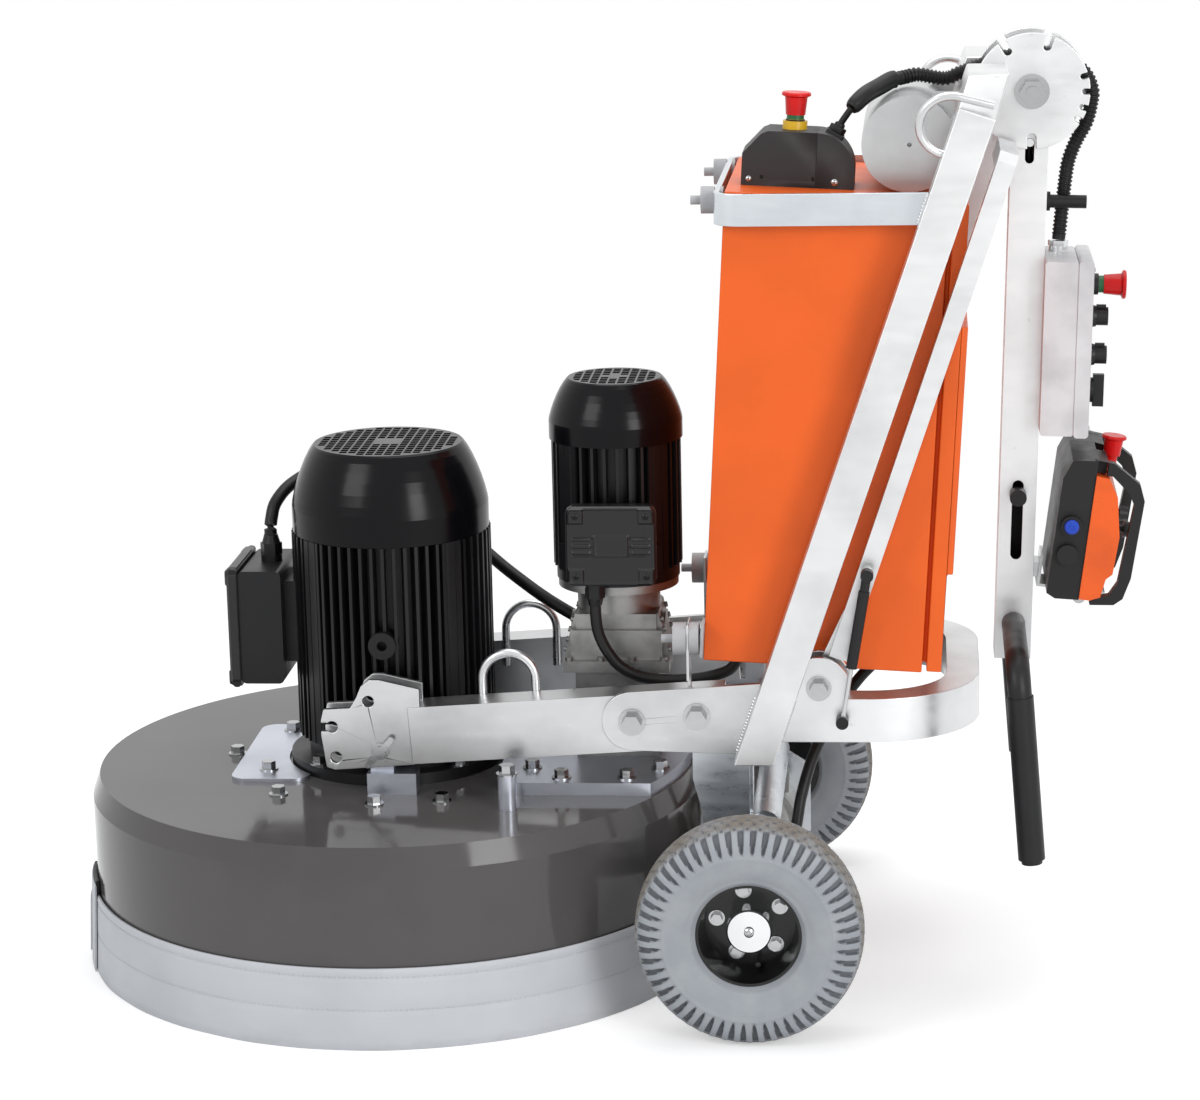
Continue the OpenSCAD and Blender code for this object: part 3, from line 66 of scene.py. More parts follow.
class Finish:
    """A Principled material whose patterns lie on Object coordinates."""

    def __init__(self, name, base, rough, metal=0.0, coat=0.0, spec=0.5):
        self.made = bpy.data.materials.new(name)
        self.made.use_nodes = True
        self.tree = self.made.node_tree
        self.p = self.tree.nodes["Principled BSDF"]
        self.base, self.rough = base, rough
        for socket, value in (("Base Color", (*base, 1)), ("Roughness", rough), ("Metallic", metal),
                              ("Coat Weight", coat), ("Coat Roughness", 0.05), ("Specular IOR Level", spec)):
            self.p.inputs[socket].default_value = value
        self.place = self.tree.nodes.new("ShaderNodeTexCoord").outputs["Object"]

    def node(self, kind, **inputs):
        """A node with values or links on its named or numbered inputs."""
        n = self.tree.nodes.new("ShaderNode" + kind)
        for key, value in inputs.items():
            socket = n.inputs[int(key[1:]) if key[1:].isdigit() else key.replace("_", " ")]
            if isinstance(value, bpy.types.NodeSocket):
                self.tree.links.new(value, socket)
            else:
                socket.default_value = value
        return n

    def noise(self, size, stretch=(1, 1, 1), detail=5.0):
        """Noise with a number of features to the metre, stretched along the axes."""
        at = self.node("Mapping", Vector=self.place, Scale=stretch).outputs["Vector"]
        return self.node("TexNoise", Vector=at, Scale=size, Detail=detail).outputs["Fac"]

    def spread(self, value, low, high, to_low=0.0, to_high=1.0):
        """A value's range low to high stretched over to_low to to_high."""
        return self.node("MapRange", Value=value, From_Min=low, From_Max=high, To_Min=to_low,
                         To_Max=to_high).outputs["Result"]

    def times(self, a, b):
        n = self.node("Math", _0=a, _1=b)
        n.operation = "MULTIPLY"
        return n.outputs[0]

    def grain(self, size, amount, stretch=(1, 1, 1)):
        """Roughness goes up and down with a noise."""
        low, high = max(self.rough - amount, 0.03), self.rough + amount
        self.tree.links.new(self.spread(self.noise(size, stretch), 0.3, 0.7, low, high), self.p.inputs["Roughness"])
        return self

    def bump(self, size, strength, depth=0.0005, stretch=(1, 1, 1)):
        """Fine relief from a noise."""
        b = self.node("Bump", Height=self.noise(size, stretch), Strength=strength, Distance=depth)
        self.tree.links.new(b.outputs["Normal"], self.p.inputs["Normal"])
        return self

    def tint(self, colour, mask):
        """Base colour goes over into another colour where a mask is 1."""
        n = self.tree.nodes.new("ShaderNodeMix")
        n.data_type = "RGBA"
        old = self.p.inputs["Base Color"].links
        if old:
            self.tree.links.new(old[0].from_socket, n.inputs[6])
        else:
            n.inputs[6].default_value = (*self.base, 1)
        n.inputs[7].default_value = (*colour, 1)
        self.tree.links.new(mask, n.inputs[0])
        self.tree.links.new(n.outputs[2], self.p.inputs["Base Color"])
        return self

    def mottle(self, colour, size, low=0.42, high=0.66, stretch=(1, 1, 1)):
        """Patches of another colour from a noise."""
        return self.tint(colour, self.spread(self.noise(size, stretch), low, high))


def plated(name, base, dull, rough, size, specks=0.25):
    """Zinc plate: cloudy patches, fine drawn streaks in the roughness and a few dark specks."""
    f = Finish(name, base, rough, metal=1)
    f.mottle(dull, size).grain(size * 3, 0.05, (1, 1, 4)).bump(60, 0.015)
    return f.tint(tuple(0.55 * c for c in dull), f.spread(f.noise(55, detail=2), 0.72, 0.8, 0, specks)).made


def moulded(name, base, rough, size=420, relief=0.1, spec=0.4):
    """Moulded plastic with a fine even grain and faint cloudiness."""
    f = Finish(name, base, rough, spec=spec)
    return f.grain(60, 0.05).bump(size, relief, 0.0003).mottle(tuple(0.8 * c for c in base), 14).made


def enamel(name, base, rough, coat=0.3, spec=0.5, peel=0.03):
    """Sprayed paint with a slight orange-peel relief."""
    f = Finish(name, base, rough, coat=coat, spec=spec)
    return f.grain(30, 0.03).bump(260, peel, 0.0004).mottle(tuple(0.86 * c for c in base), 5).made


def tyre_rubber():
    """Grey rubber, brownish where the tread has run on the floor, with pale scuffs."""
    f = Finish("tyre_rubber", (0.31, 0.33, 0.355), 0.62, spec=0.3)
    f.grain(70, 0.08).bump(240, 0.1, 0.0004).mottle((0.35, 0.37, 0.39), 22)
    spoke = f.node("Mapping", Vector=f.place, Location=(-0.22, 0, -0.1515), Scale=(1, 0, 1)).outputs["Vector"]
    length = f.node("VectorMath", _0=spoke)
    length.operation = "LENGTH"
    worn = f.times(f.spread(length.outputs["Value"], 0.1445, 0.1495), f.spread(f.noise(26), 0.3, 0.55, 0.35, 1))
    return f.tint((0.21, 0.19, 0.165), worn).made


def skirt_cloth():
    """Coated cloth: a fine relief drawn out round the skirt, cloudy and a little scuffed near the floor."""
    f = Finish("skirt_cloth", (0.56, 0.575, 0.60), 0.6, spec=0.3)
    f.grain(40, 0.08).mottle((0.52, 0.535, 0.56), 7).bump(620, 0.12, 0.0004, (1, 1, 2.5))
    height = f.node("SeparateXYZ", Vector=f.place).outputs["Z"]
    scuffed = f.times(f.spread(height, 0.035, 0.0), f.spread(f.noise(12, (1, 1, 3)), 0.45, 0.7, 0, 0.6))
    return f.tint((0.44, 0.44, 0.44), scuffed).made


M = {
    "cover": enamel("cover_paint", (0.088, 0.083, 0.082), 0.1, coat=0, spec=0.3, peel=0.012),
    "skirt": skirt_cloth(),
    "zinc": plated("zinc_plate", (0.47, 0.475, 0.48), (0.42, 0.425, 0.43), 0.18, 14, 0),
    "bluezinc": plated("blue_zinc", (0.62, 0.645, 0.72), (0.56, 0.585, 0.65), 0.34, 7, 0),
    "frame": plated("frame_zinc", (0.76, 0.765, 0.77), (0.60, 0.605, 0.61), 0.34, 6),
    # A darker copy of the frame zinc, with its own mottle, for the arms and side plates: the darker base is painted
    # shade.
    "arm": plated("arm_zinc_painted_shade", (0.63, 0.635, 0.64), (0.50, 0.505, 0.51), 0.32, 7),
    "loop": plated("loop_zinc", (0.64, 0.645, 0.65), (0.57, 0.575, 0.58), 0.3, 12, 0),
    "hoop": plated("hoop_zinc", (0.68, 0.715, 0.745), (0.61, 0.65, 0.685), 0.3, 8, 0),
    "motor": enamel("motor_black", (0.007, 0.007, 0.008), 0.38, coat=0, spec=0.3, peel=0.12),
    "cap": enamel("cap_black", (0.003, 0.003, 0.004), 0.2, coat=0, spec=0.17, peel=0.01),
    "lid": enamel("lid_black", (0.010, 0.010, 0.011), 0.3, coat=0, spec=0.4, peel=0.16),
    "alloy": plated("cast_alloy", (0.33, 0.33, 0.325), (0.24, 0.24, 0.235), 0.46, 30),
    "steel": plated("machined_steel", (0.56, 0.57, 0.575), (0.46, 0.465, 0.47), 0.34, 8),
    "bright": plated("bright_zinc", (0.78, 0.79, 0.80), (0.70, 0.71, 0.72), 0.14, 10),
    "plastic": moulded("black_plastic", (0.010, 0.010, 0.011), 0.42, spec=0.3),
    "cable": moulded("cable_rubber", (0.008, 0.008, 0.008), 0.44, 300, 0.06, 0.3),
    "orange": enamel("orange_paint", (0.83, 0.125, 0.014), 0.4, coat=0.05, spec=0.3, peel=0.08),
    "shell": moulded("orange_plastic", (0.83, 0.115, 0.012), 0.3),
    "pod": moulded("pod_plastic", (0.026, 0.025, 0.026), 0.5, 500, 0.2, 0.3),
    "rubber": moulded("mount_rubber", (0.42, 0.42, 0.43), 0.6),
    "tyre": tyre_rubber(),
    # Darker rubber for the faces deep in the tyre's grooves: painted shade.
    "groove": moulded("tyre_groove_painted_shade", (0.17, 0.18, 0.195), 0.7),
    "rim": enamel("rim_enamel", (0.006, 0.006, 0.006), 0.2, coat=0.1, spec=0.35),
    "white": moulded("white_box", (0.72, 0.72, 0.73), 0.42, 300, 0.05),
    "red": moulded("stop_red", (0.68, 0.010, 0.010), 0.26, 120, 0.02, 0.25),
    "yellow": moulded("stop_yellow", (0.80, 0.47, 0.015), 0.3, 120, 0.02, 0.5),
    "green": moulded("stop_green", (0.015, 0.13, 0.04), 0.4),
    "blue": moulded("plug_blue", (0.01, 0.06, 0.5), 0.35),
}

WEAR = {
    "cover": ["head_cover"], "skirt": ["dust_skirt"], "bluezinc": ["deck_plates"],
    "zinc": ["head_bolts", "frame_bolts", "remote_cradle"], "loop": ["lifting_loops"],
    "motor": ["main_motor_frame", "planet_motor_frame", "terminal_boxes"],
    "cap": ["main_fan_cover", "planet_fan_cover"],
    "alloy": ["planet_gearbox", "wheel_motors"],
    "steel": ["main_rotor", "planet_drum", "grinding_disc_1", "grinding_disc_2", "grinding_disc_3", "planet_pinion",
              "counterweight", "gas_rods"],
    "plastic": ["cable_peg", "lock_slider", "speed_knob_1", "speed_knob_2", "main_switch", "remote_back",
                "remote_guard", "joystick_1", "joystick_2", "handle_bar", "gas_cylinders"],
    "cable": ["motor_cables", "chassis_cables", "cable_conduit"],
    "frame": ["legs", "rear_bow", "index_discs", "tilt_arms", "mast_tube"], "arm": ["front_arms", "side_plates"],
    "hoop": ["cabinet_hoop", "axle_carrier"],
    "orange": ["cabinet_body", "cabinet_cover"], "shell": ["remote_shell"], "pod": ["top_pod"],
    "rubber": ["rubber_mounts"],
    "tyre": ["tyre_left", "tyre_right"], "rim": ["rim_left", "rim_right"],
    "white": ["control_box", "control_box_lid"], "red": ["estop_top", "estop_box", "estop_remote"],
    "yellow": ["estop_collar"],
}
for key, names in WEAR.items():
    for n in names:
        N[n].data.materials.clear()
        N[n].data.materials.append(M[key])


def paint(node, mat, rule):
    """Another finish on the faces of a CAD node whose middles, in machine millimetres, satisfy a rule."""
    me = N[node].data
    c = np.zeros(len(me.polygons) * 3)
    me.polygons.foreach_get("center", c)
    c = (c.reshape(-1, 3) - (HX, 0, 0)) / MM
    index = np.zeros(len(me.polygons), np.int32)
    me.polygons.foreach_get("material_index", index)
    me.materials.append(mat)
    index[rule(*c.T)] = len(me.materials) - 1
    me.polygons.foreach_set("material_index", index)


AXLE_X, AXLE_Z, WHEEL_Y = 517.0, 151.5, 378.0
HUB_R, DISH_Y, BOLT_RING = 30.5, 350.0, 45.0
MAST_PIVOT, MAST_LEAN, MAST_BORE = (889.35, 0, 1211.92), 1.57, (22, 29)
CABINET_FOOT, CABINET_LEAN = (449.2, 0, 466.3), 3.3
CRADLE_AT, CRADLE_LEAN = (40, 0, -678), 6
ROD_FOOT, GLAND_Z, LOCK_PIN_Z = (637.4, 397.5), 989.5, 1100


def hub_faces(x, y, z):
    """Hub tube and cap: everything within the hub's radius."""
    return np.hypot(x - AXLE_X, z - AXLE_Z) < HUB_R


def bolt_faces(x, y, z):
    """Wheel bolts: near the bolt ring, in front of the dish, and within 18 degrees of a fifth of a turn."""
    r, a = np.hypot(x - AXLE_X, z - AXLE_Z), np.arctan2(z - AXLE_Z, x - AXLE_X)
    proud = (np.abs(r - BOLT_RING) < 11) & (np.abs(y) > DISH_Y + 0.6)
    middle = np.exp(5j * (a - np.angle(np.sum(np.where(proud & (r < 44), np.exp(5j * a), 0))) / 5))
    return proud & (np.abs(np.angle(middle)) < math.pi / 2)


def shaded_mast_bore(x, y, z):
    """Inner walls of the mast tube, painted dark as shade: faces whose middles lie within its bore, across its lean.
    """
    a = math.radians(MAST_LEAN)
    across = (x - MAST_PIVOT[0]) * math.cos(a) - (z - MAST_PIVOT[2]) * math.sin(a)
    return (np.abs(across) < MAST_BORE[0]) & (np.abs(y) < MAST_BORE[1])


# The mast tube's inner walls take the dark pod plastic: painted shade inside the tube.
paint("mast_tube", M["pod"], shaded_mast_bore)
for n in ("rim_left", "rim_right"):
    paint(n, M["bright"], hub_faces)
    paint(n, M["zinc"], bolt_faces)
paint("gas_rods", M["plastic"], lambda x, y, z: np.hypot(x - ROD_FOOT[0], z - ROD_FOOT[1]) < 10)
paint("control_box", M["bright"], lambda x, y, z: z > GLAND_Z)
paint("lock_slider", M["bright"], lambda x, y, z: z > LOCK_PIN_Z)


# Shapes: every piece is a grid of points in machine millimetres, X counted from the head's axis

def world(points):
    """Machine millimetres to metres in the row frame."""
    return np.asarray(points, float) * MM + np.array([HX, 0, 0])


def tilted(origin, degrees):
    """Maps points of a sub-assembly turned about Y by an angle, and set at an origin, to machine millimetres."""
    a = math.radians(degrees)
    turn = np.array([[math.cos(a), 0, math.sin(a)], [0, 1, 0], [-math.sin(a), 0, math.cos(a)]])
    return lambda p: np.asarray(p, float) @ turn.T + np.array(origin, float)


on_cabinet = tilted(CABINET_FOOT, CABINET_LEAN)
on_mast = tilted(MAST_PIVOT, MAST_LEAN)
in_cradle = tilted(CRADLE_AT, CRADLE_LEAN)


def on_remote(p):
    """Remote control's own frame, through the cradle and the mast, to machine millimetres."""
    return on_mast(in_cradle(p))


def grid(P, wrap_u=False, wrap_v=False, cap=False):
    """Points and quads over a grid P[u, v]; wrap joins the last row or column to the first, cap closes the ends."""
    n, m = P.shape[:2]
    i = np.arange(n if wrap_u else n - 1)[:, None]
    j = np.arange(m if wrap_v else m - 1)[None, :]
    quads = np.stack([i * m + j, (i + 1) % n * m + j, (i + 1) % n * m + (j + 1) % m, i * m + (j + 1) % m], -1)
    faces = quads.reshape(-1, 4).tolist()
    if cap:
        faces += [list(range(m)), list(range((n - 1) * m, n * m))]
    return P.reshape(-1, 3), faces


def placed(part, where):
    """A grid carried into another frame."""
    return where(part[0]), part[1]


def piece(name, parts, body, mat, smooth=35.0):
    """One object from several grids: points shifted into one list, normals turned outwards, smooth below an angle."""
    points, faces, start = [], [], 0
    for p, f in parts:
        points.append(p)
        faces += [[k + start for k in q] for q in f]
        start += len(p)
    me = bpy.data.meshes.new(name)
    me.from_pydata(world(np.concatenate(points)).tolist(), [], faces)
    bm = bmesh.new()
    bm.from_mesh(me)
    bmesh.ops.remove_doubles(bm, verts=bm.verts, dist=1e-6)
    bmesh.ops.recalc_face_normals(bm, faces=bm.faces)
    bm.to_mesh(me)
    bm.free()
    me.shade_smooth()
    me.set_sharp_from_angle(angle=math.radians(smooth))
    me.materials.append(mat)
    o = bpy.data.objects.new(name, me)
    scene.collection.objects.link(o)
    if body:
        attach(o, body)
    return o


def spline(points, steps):
    """Catmull-Rom curve through the points, with a number of steps between two of them."""
    p = np.asarray(points, float)
    q = np.concatenate([p[:1], p, p[-1:]])
    t = np.linspace(0, 1, steps, endpoint=False)[None, :, None]
    a, b, c, d = (q[k:len(q) - 3 + k, None, :] for k in range(4))
    s = 0.5 * (2 * b + (c - a) * t + (2 * a - 5 * b + 4 * c - d) * t**2 + (3 * b - a - 3 * c + d) * t**3)
    return np.concatenate([s.reshape(-1, p.shape[1]), p[-1:]])


def even(path, step):
    """The same path with points at equal distances of about one step."""
    s = np.concatenate([[0], np.cumsum(np.linalg.norm(np.diff(path, axis=0), axis=1))])
    k = np.linspace(0, s[-1], max(2, int(round(s[-1] / step)) + 1))
    return np.stack([np.interp(k, s, path[:, c]) for c in range(path.shape[1])], 1)


def tube(path, radius, sides=16, aim=(0, 1, 0), closed=False):
    """Round section carried along a path: each ring stands across the path, its first spoke square to an aim."""
    p = np.asarray(path, float)
    t = np.roll(p, -1, 0) - np.roll(p, 1, 0) if closed else np.gradient(p, axis=0)
    t /= np.linalg.norm(t, axis=1)[:, None]
    u = np.cross(t, np.asarray(aim, float))
    u /= np.linalg.norm(u, axis=1)[:, None]
    v = np.cross(t, u)
    a = np.linspace(0, 2 * math.pi, sides, endpoint=False)
    r = np.broadcast_to(radius, len(p))[:, None, None]
    ring = np.cos(a)[None, :, None] * u[:, None] + np.sin(a)[None, :, None] * v[:, None]
    return grid(p[:, None] + r * ring, wrap_u=closed, wrap_v=True, cap=not closed)


def spokes(axis):
    """Unit vector along an axis and two more square to it."""
    k = np.asarray(axis, float) / np.linalg.norm(axis)
    e = np.cross(k, (0, 1, 0) if abs(k[1]) < 0.9 else (1, 0, 0))
    e /= np.linalg.norm(e)
    return k, e, np.cross(k, e)


def lathe(profile, centre, axis, steps=64):
    """Outline of (radius, height) pairs turned about an axis through a centre; a zero radius closes the pole."""
    k, e, g = spokes(axis)
    a = np.linspace(0, 2 * math.pi, steps, endpoint=False)[:, None, None]
    q = np.asarray(profile, float)
    spoke = np.cos(a) * e + np.sin(a) * g
    return grid(np.asarray(centre, float) + q[None, :, 0:1] * spoke + q[None, :, 1:2] * k, wrap_u=True)


def ease(low, high, x):
    """Smooth step from 0 at low to 1 at high."""
    t = np.clip((x - low) / (high - low), 0, 1)
    return t * t * (3 - 2 * t)


def screw_head(centre, axis, r, cross=True):
    """Domed head on a polar grid: the height falls with the square of the radius, and two crossed slots, or else a
    six-sided socket, sink its middle. A last ring and a pole below close it."""
    k, e, g = spokes(axis)
    rho = np.array([0, 0.1, 0.16, 0.22, 0.32, 0.42, 0.5, 0.56, 0.64, 0.8, 0.93, 1, 1, 0])[None, :]
    a = np.linspace(0, 2 * math.pi, 48, endpoint=False)[:, None]
    x, y = rho * np.cos(a), rho * np.sin(a)
    if cross:
        sunk = (1 - ease(0.1, 0.18, np.minimum(np.abs(x), np.abs(y)))) * (1 - ease(0.5, 0.6, rho))
    else:
        sunk = 1 - ease(0.46, 0.54, rho * np.cos((a + math.pi / 6) % (math.pi / 3) - math.pi / 6))
    h = 0.55 * (1 - 0.75 * rho**2) - 0.34 * sunk
    h[:, -2:] = -0.15
    P = np.asarray(centre, float) + r * (x[..., None] * e + y[..., None] * g + h[..., None] * k)
    return grid(P, wrap_u=True)


def slab(centre, axis, up, half_u, half_v, height, round_by=0.22, soften=1.0):
    """Rounded block: a superellipse ring of half sizes along two directions, carried along the axis from 0 to a
    height and drawn in at the end by a soft edge; poles close both ends."""
    k = np.asarray(axis, float) / np.linalg.norm(axis)
    u = np.asarray(up, float) / np.linalg.norm(up)
    v = np.cross(k, u)
    a = np.linspace(0, 2 * math.pi, 64, endpoint=False)[:, None]
    c, s = np.cos(a), np.sin(a)
    x, y = np.sign(c) * np.abs(c)**round_by, np.sign(s) * np.abs(s)**round_by
    drop = np.array([1e9, 0, 0, 0.3, 1, 1e9]) * soften
    z = np.array([0, 0, height - soften, height - 0.3 * soften, height, height])
    hu, hv = np.maximum(half_u - drop, 0)[None, :], np.maximum(half_v - drop, 0)[None, :]
    P = (np.asarray(centre, float) + (x * hu)[..., None] * u + (y * hv)[..., None] * v + z[None, :, None] * k)
    return grid(P, wrap_u=True)


# Tyres

TYRE_R, LUGS = 151.5, 54


def tyre(side):
    """Tyre turned about the axle from a spline of (radius, offset). Lugs: on the shoulder a cosine of LUGS waves
    sinks the grooves, which run out towards the bead. Crown: zigzag rings and stepped slots part the blocks.
    Sidewall: a thin raised ring where the lugs begin and a soft step at the bead. The second value says which faces
    lie deep in a groove, where a darker rubber paints the shade."""
    half = np.array([(70, 31), (73, 36), (78, 40.5), (84, 44), (90, 46.5), (98, 48.6), (106, 49.6), (113, 49.8),
                     (120, 49.4), (127, 48.2), (133, 46.5), (138, 44), (142, 41), (145.4, 37), (147.5, 32),
                     (149.2, 25), (150.3, 18), (151, 11), (151.3, 5)])
    section = spline(np.concatenate([half, half[::-1] * (1, -1)]), 3)
    r, w = section[:, 0], section[:, 1]
    d = np.gradient(section, axis=0)
    out = np.stack([-d[:, 1], d[:, 0]], 1) / np.linalg.norm(d, axis=1)[:, None]
    out *= np.sign((out * (section - (110, 0))).sum(1))[:, None]
    a = np.linspace(0, 2 * math.pi, LUGS * 12, endpoint=False)[:, None]
    wave = 0.5 + 0.5 * np.cos(LUGS * a)
    shoulder = ease(113, 122, r) * ease(27, 33, np.abs(w))
    depth = 6.4 * shoulder * ease(0.42, 0.72, wave - 0.35 * (1 - ease(113, 138, r)))
    zig = np.abs((a * LUGS / (2 * math.pi)) % 1 - 0.5) * 2
    crown = ease(125, 135, r) * (1 - ease(31, 35, np.abs(w)))
    for ring, phase in ((-22, 0), (-7, 1), (7, 0), (22, 1)):
        line = ring + 3.2 * (np.abs(zig - phase) - 0.5) * 2
        depth = np.maximum(depth, 3.4 * crown * (1 - ease(1.2, 2.8, np.abs(w - line))))
    row = np.floor((np.abs(w) + 7.5) / 15)
    slot = np.abs((a * LUGS / (2 * math.pi) + 0.5 * row) % 1 - 0.5)
    depth = np.maximum(depth, 3.0 * crown * (1 - ease(0.08, 0.15, slot)))
    depth = depth - 0.9 * (1 - ease(0.8, 2.2, np.abs(r - 112))) - 1.1 * (1 - ease(1.5, 3.5, np.abs(r - 77)))
    rr, ww = r - depth * out[:, 0], w - depth * out[:, 1]
    ring = np.stack([AXLE_X + rr * np.cos(a), side * (WHEEL_Y + ww), TYRE_R + rr * np.sin(a)], -1)
    sunk = sum(np.roll(depth, (i, j), (0, 1)) for i in (0, -1) for j in (0, -1)) / 4
    return grid(ring, wrap_u=True, wrap_v=True), (sunk.ravel() > 2.6).astype(np.int32)


for side, word in ((-1, "left"), (1, "right")):
    part, sunk = tyre(side)
    tread = piece("tyre_tread_" + word, [part], "wheel_" + word, M["tyre"])
    # The faces deep in the grooves take the darker rubber: painted shade.
    tread.data.materials.append(M["groove"])
    tread.data.polygons.foreach_set("material_index", sunk)
    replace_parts(tread, "tyre_" + word)
    face = side * (WHEEL_Y + 14)
    piece("hub_screw_" + word, [screw_head((AXLE_X, face + side * 3, AXLE_Z), (0, side, 0), 6.5, cross=False)],
          "wheel_" + word, M["zinc"])


# Dust skirt

SKIRT_H = 112.0
STRAP = (math.radians(188), math.radians(201))


def skirt():
    """Cloth wall turned about the head's axis from a closed outline of (radius, height). Slow sines of the angle make
    its lower edge wander in and out, and two shallow lines sink it at the seams."""
    outline = np.array([(439.4, 0), (445.2, 0), (446, 1.5), (445.2, 14), (444.4, 30), (443.6, 44), (443.4, 50.5),
                        (442.4, 54), (442.4, 56), (443.0, 59.5), (442.2, 76), (441.4, 92), (441.2, 96), (440.3, 99),
                        (440.3, 101), (440.9, 104), (440.4, 109.5), (439.4, 111.6), (437, 111.6), (436, 109),
                        (435.8, 100), (435.7, 60), (437, 30)])
    a = np.linspace(0, 2 * math.pi, 720, endpoint=False)[:, None]
    low = 1 - ease(0, SKIRT_H, outline[:, 1])
    r = outline[:, 0] + low * (0.55 * np.sin(7 * a + 0.6) + 0.35 * np.sin(16 * a) + 0.25 * np.sin(29 * a + 1.1))
    z = np.broadcast_to(outline[:, 1], r.shape)
    return grid(np.stack([r * np.cos(a), r * np.sin(a), z], -1), wrap_u=True, wrap_v=True)


def stitches(radius, height, pitch=7.0):
    """Thread round the skirt: its radius rises and dips once a stitch, so only the upper halves show."""
    n = int(2 * math.pi * radius / pitch)
    a = np.linspace(0, 2 * math.pi, n * 8, endpoint=False)
    r = radius + 0.75 * np.sin(n * a)
    return tube(np.stack([r * np.cos(a), r * np.sin(a), np.full_like(a, height)], -1), 0.55, 5, (0, 0, 1), True)


def strap(inner, outer, start, end, low, high):
    """Curved band over an angle: a rounded outline of (radius, height) swept round the head, its ends closed."""
    a = np.linspace(start, end, 40)[:, None]
    corner = np.array([(0, 0.02), (0.25, 0), (0.75, 0), (1, 0.02), (1, 0.5), (1, 0.98), (0.75, 1), (0.25, 1),
                       (0, 0.98)])
    lean = 5.5 * (1 - (low + corner[:, 1] * (high - low)) / SKIRT_H)
    r = inner + corner[:, 0] * (outer - inner) + lean
    z = low + corner[:, 1] * (high - low)
    r, z = np.broadcast_to(r, (40, 9)), np.broadcast_to(z, (40, 9))
    return grid(np.stack([r * np.cos(a), r * np.sin(a), z], -1), wrap_v=True, cap=True)


cloth = piece("skirt_cloth", [skirt()], "skirt", M["skirt"], 60)
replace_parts(cloth, "dust_skirt")
piece("skirt_stitches", [stitches(440.5, 100), stitches(442.6, 55)], "skirt", M["skirt"], 80)
piece("skirt_strap", [strap(441.8, 444.2, STRAP[0], STRAP[1], 1, 128),
                      strap(444.4, 446.4, STRAP[0] + 0.02, STRAP[0] + 0.12, 16, 92)],
      "skirt", M["skirt"])
piece("skirt_fastener", [strap(437.0, 441.6, STRAP[0] + 0.01, STRAP[1] - 0.01, 112.5, 133)], "skirt", M["plastic"])


# Cables

CONDUIT = [(707.2, -4.8, 1226.1), (722.1, 5.8, 1228.3), (739.3, 12, 1230.4), (774.3, 14, 1224.9), (797.3, 15, 1232.9),
           (850.3, 15, 1250.9), (889.3, 15, 1257.9), (925.3, 15, 1251.9), (958.3, 15, 1232.9), (971.3, 18, 1207.9),
           (970.3, 21, 1186.9), (964.3, 25, 1161.9), (951.3, 28, 1136.9), (941.3, 30, 1109.9), (936.3, 30, 1075.9),
           (931, 30, 1023.9), (929, 30, 1003)]
MAIN_CABLE = [(-172, 0, 599.1), (-172, 0, 606), (-171, 4, 618), (-166, 16, 640), (-148, 48, 660), (-118, 100, 668),
              (-70, 150, 655), (0, 176, 615), (80, 168, 560), (150, 130, 512), (220, 100, 470), (290, 92, 436),
              (370, 96, 416), (440, 92, 420), (477, 84, 432), (489, 80, 443), (492, 80, 450), (492, 80, 456),
              (492, 80, 463)]
SMALL_CABLE = [(296, -104, 521.4), (296, -104, 516), (296, -104, 510), (300, -103, 480), (314, -100, 450),
               (334, -97, 428), (370, -95, 414), (430, -95, 414), (474, -92, 424), (489, -88, 438), (492, -88, 447),
               (492, -88, 455), (492, -88, 463)]
DRIVE_LEAD = [(690, -30, 451.6), (690, -30, 446), (690, -30, 440), (680, -32, 424), (656, -40, 400), (624, -60, 360),
              (594, -92, 305), (578, -118, 255), (572, -131, 222), (568, -135, 205), (561, -135, 200),
              (556, -135, 200), (551.2, -135, 200)]
POD_LEAD = on_cabinet([(141.9, -75, 711), (147, -75.3, 721), (152.5, -76, 730), (159, -77, 740)])
SLEEVE = np.concatenate([on_cabinet([(158.5, -77, 739.5), (175.6, -60, 756), (195, -27, 765.7)]),
                         [(701.5, -8.8, 1225.3), (707, -4.9, 1226.1)]])
RIB = 5.6


def length(path):
    """Length of a path in metres."""
    return float(np.linalg.norm(np.diff(path, axis=0), axis=1).sum() * MM)


def cable(name, path, radius, bodies, between=None, aim=(0, 1, 0)):
    """A round lead from housing to housing along a path."""
    o = piece(name, [tube(path, radius, 18, aim)], None if between else bodies[0], M["cable"])
    if between:
        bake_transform(o)
    return o


run = even(spline(CONDUIT, 16), RIB / 6)
phase = np.arange(len(run)) % 6 / 6
rib = 8.2 + 1.7 * ease(0.18, 0.36, phase) * (1 - ease(0.64, 0.82, phase))
rib[:8] = rib[-8:] = 9.0
hose = cable("conduit_ribs", run, rib, ("chassis", "mast"), ((889, 15, 1258), (945, 28, 1110)))
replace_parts(hose, "cable_conduit")
over_head = ((330, 0, 440), (480, 0, 440))
for name, way, radius, aim in (("main_lead", MAIN_CABLE, 9, (0.1, 0.2, 1)),
                               ("planet_lead", SMALL_CABLE, 8, (0, 1, 0))):
    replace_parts(cable(name, even(spline(way, 12), 6), radius, ("head", "chassis"), over_head, aim), "motor_cables")
drive = cable("drive_lead", even(spline(DRIVE_LEAD, 12), 5), 8, ("chassis",))
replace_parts(drive, "chassis_cables")

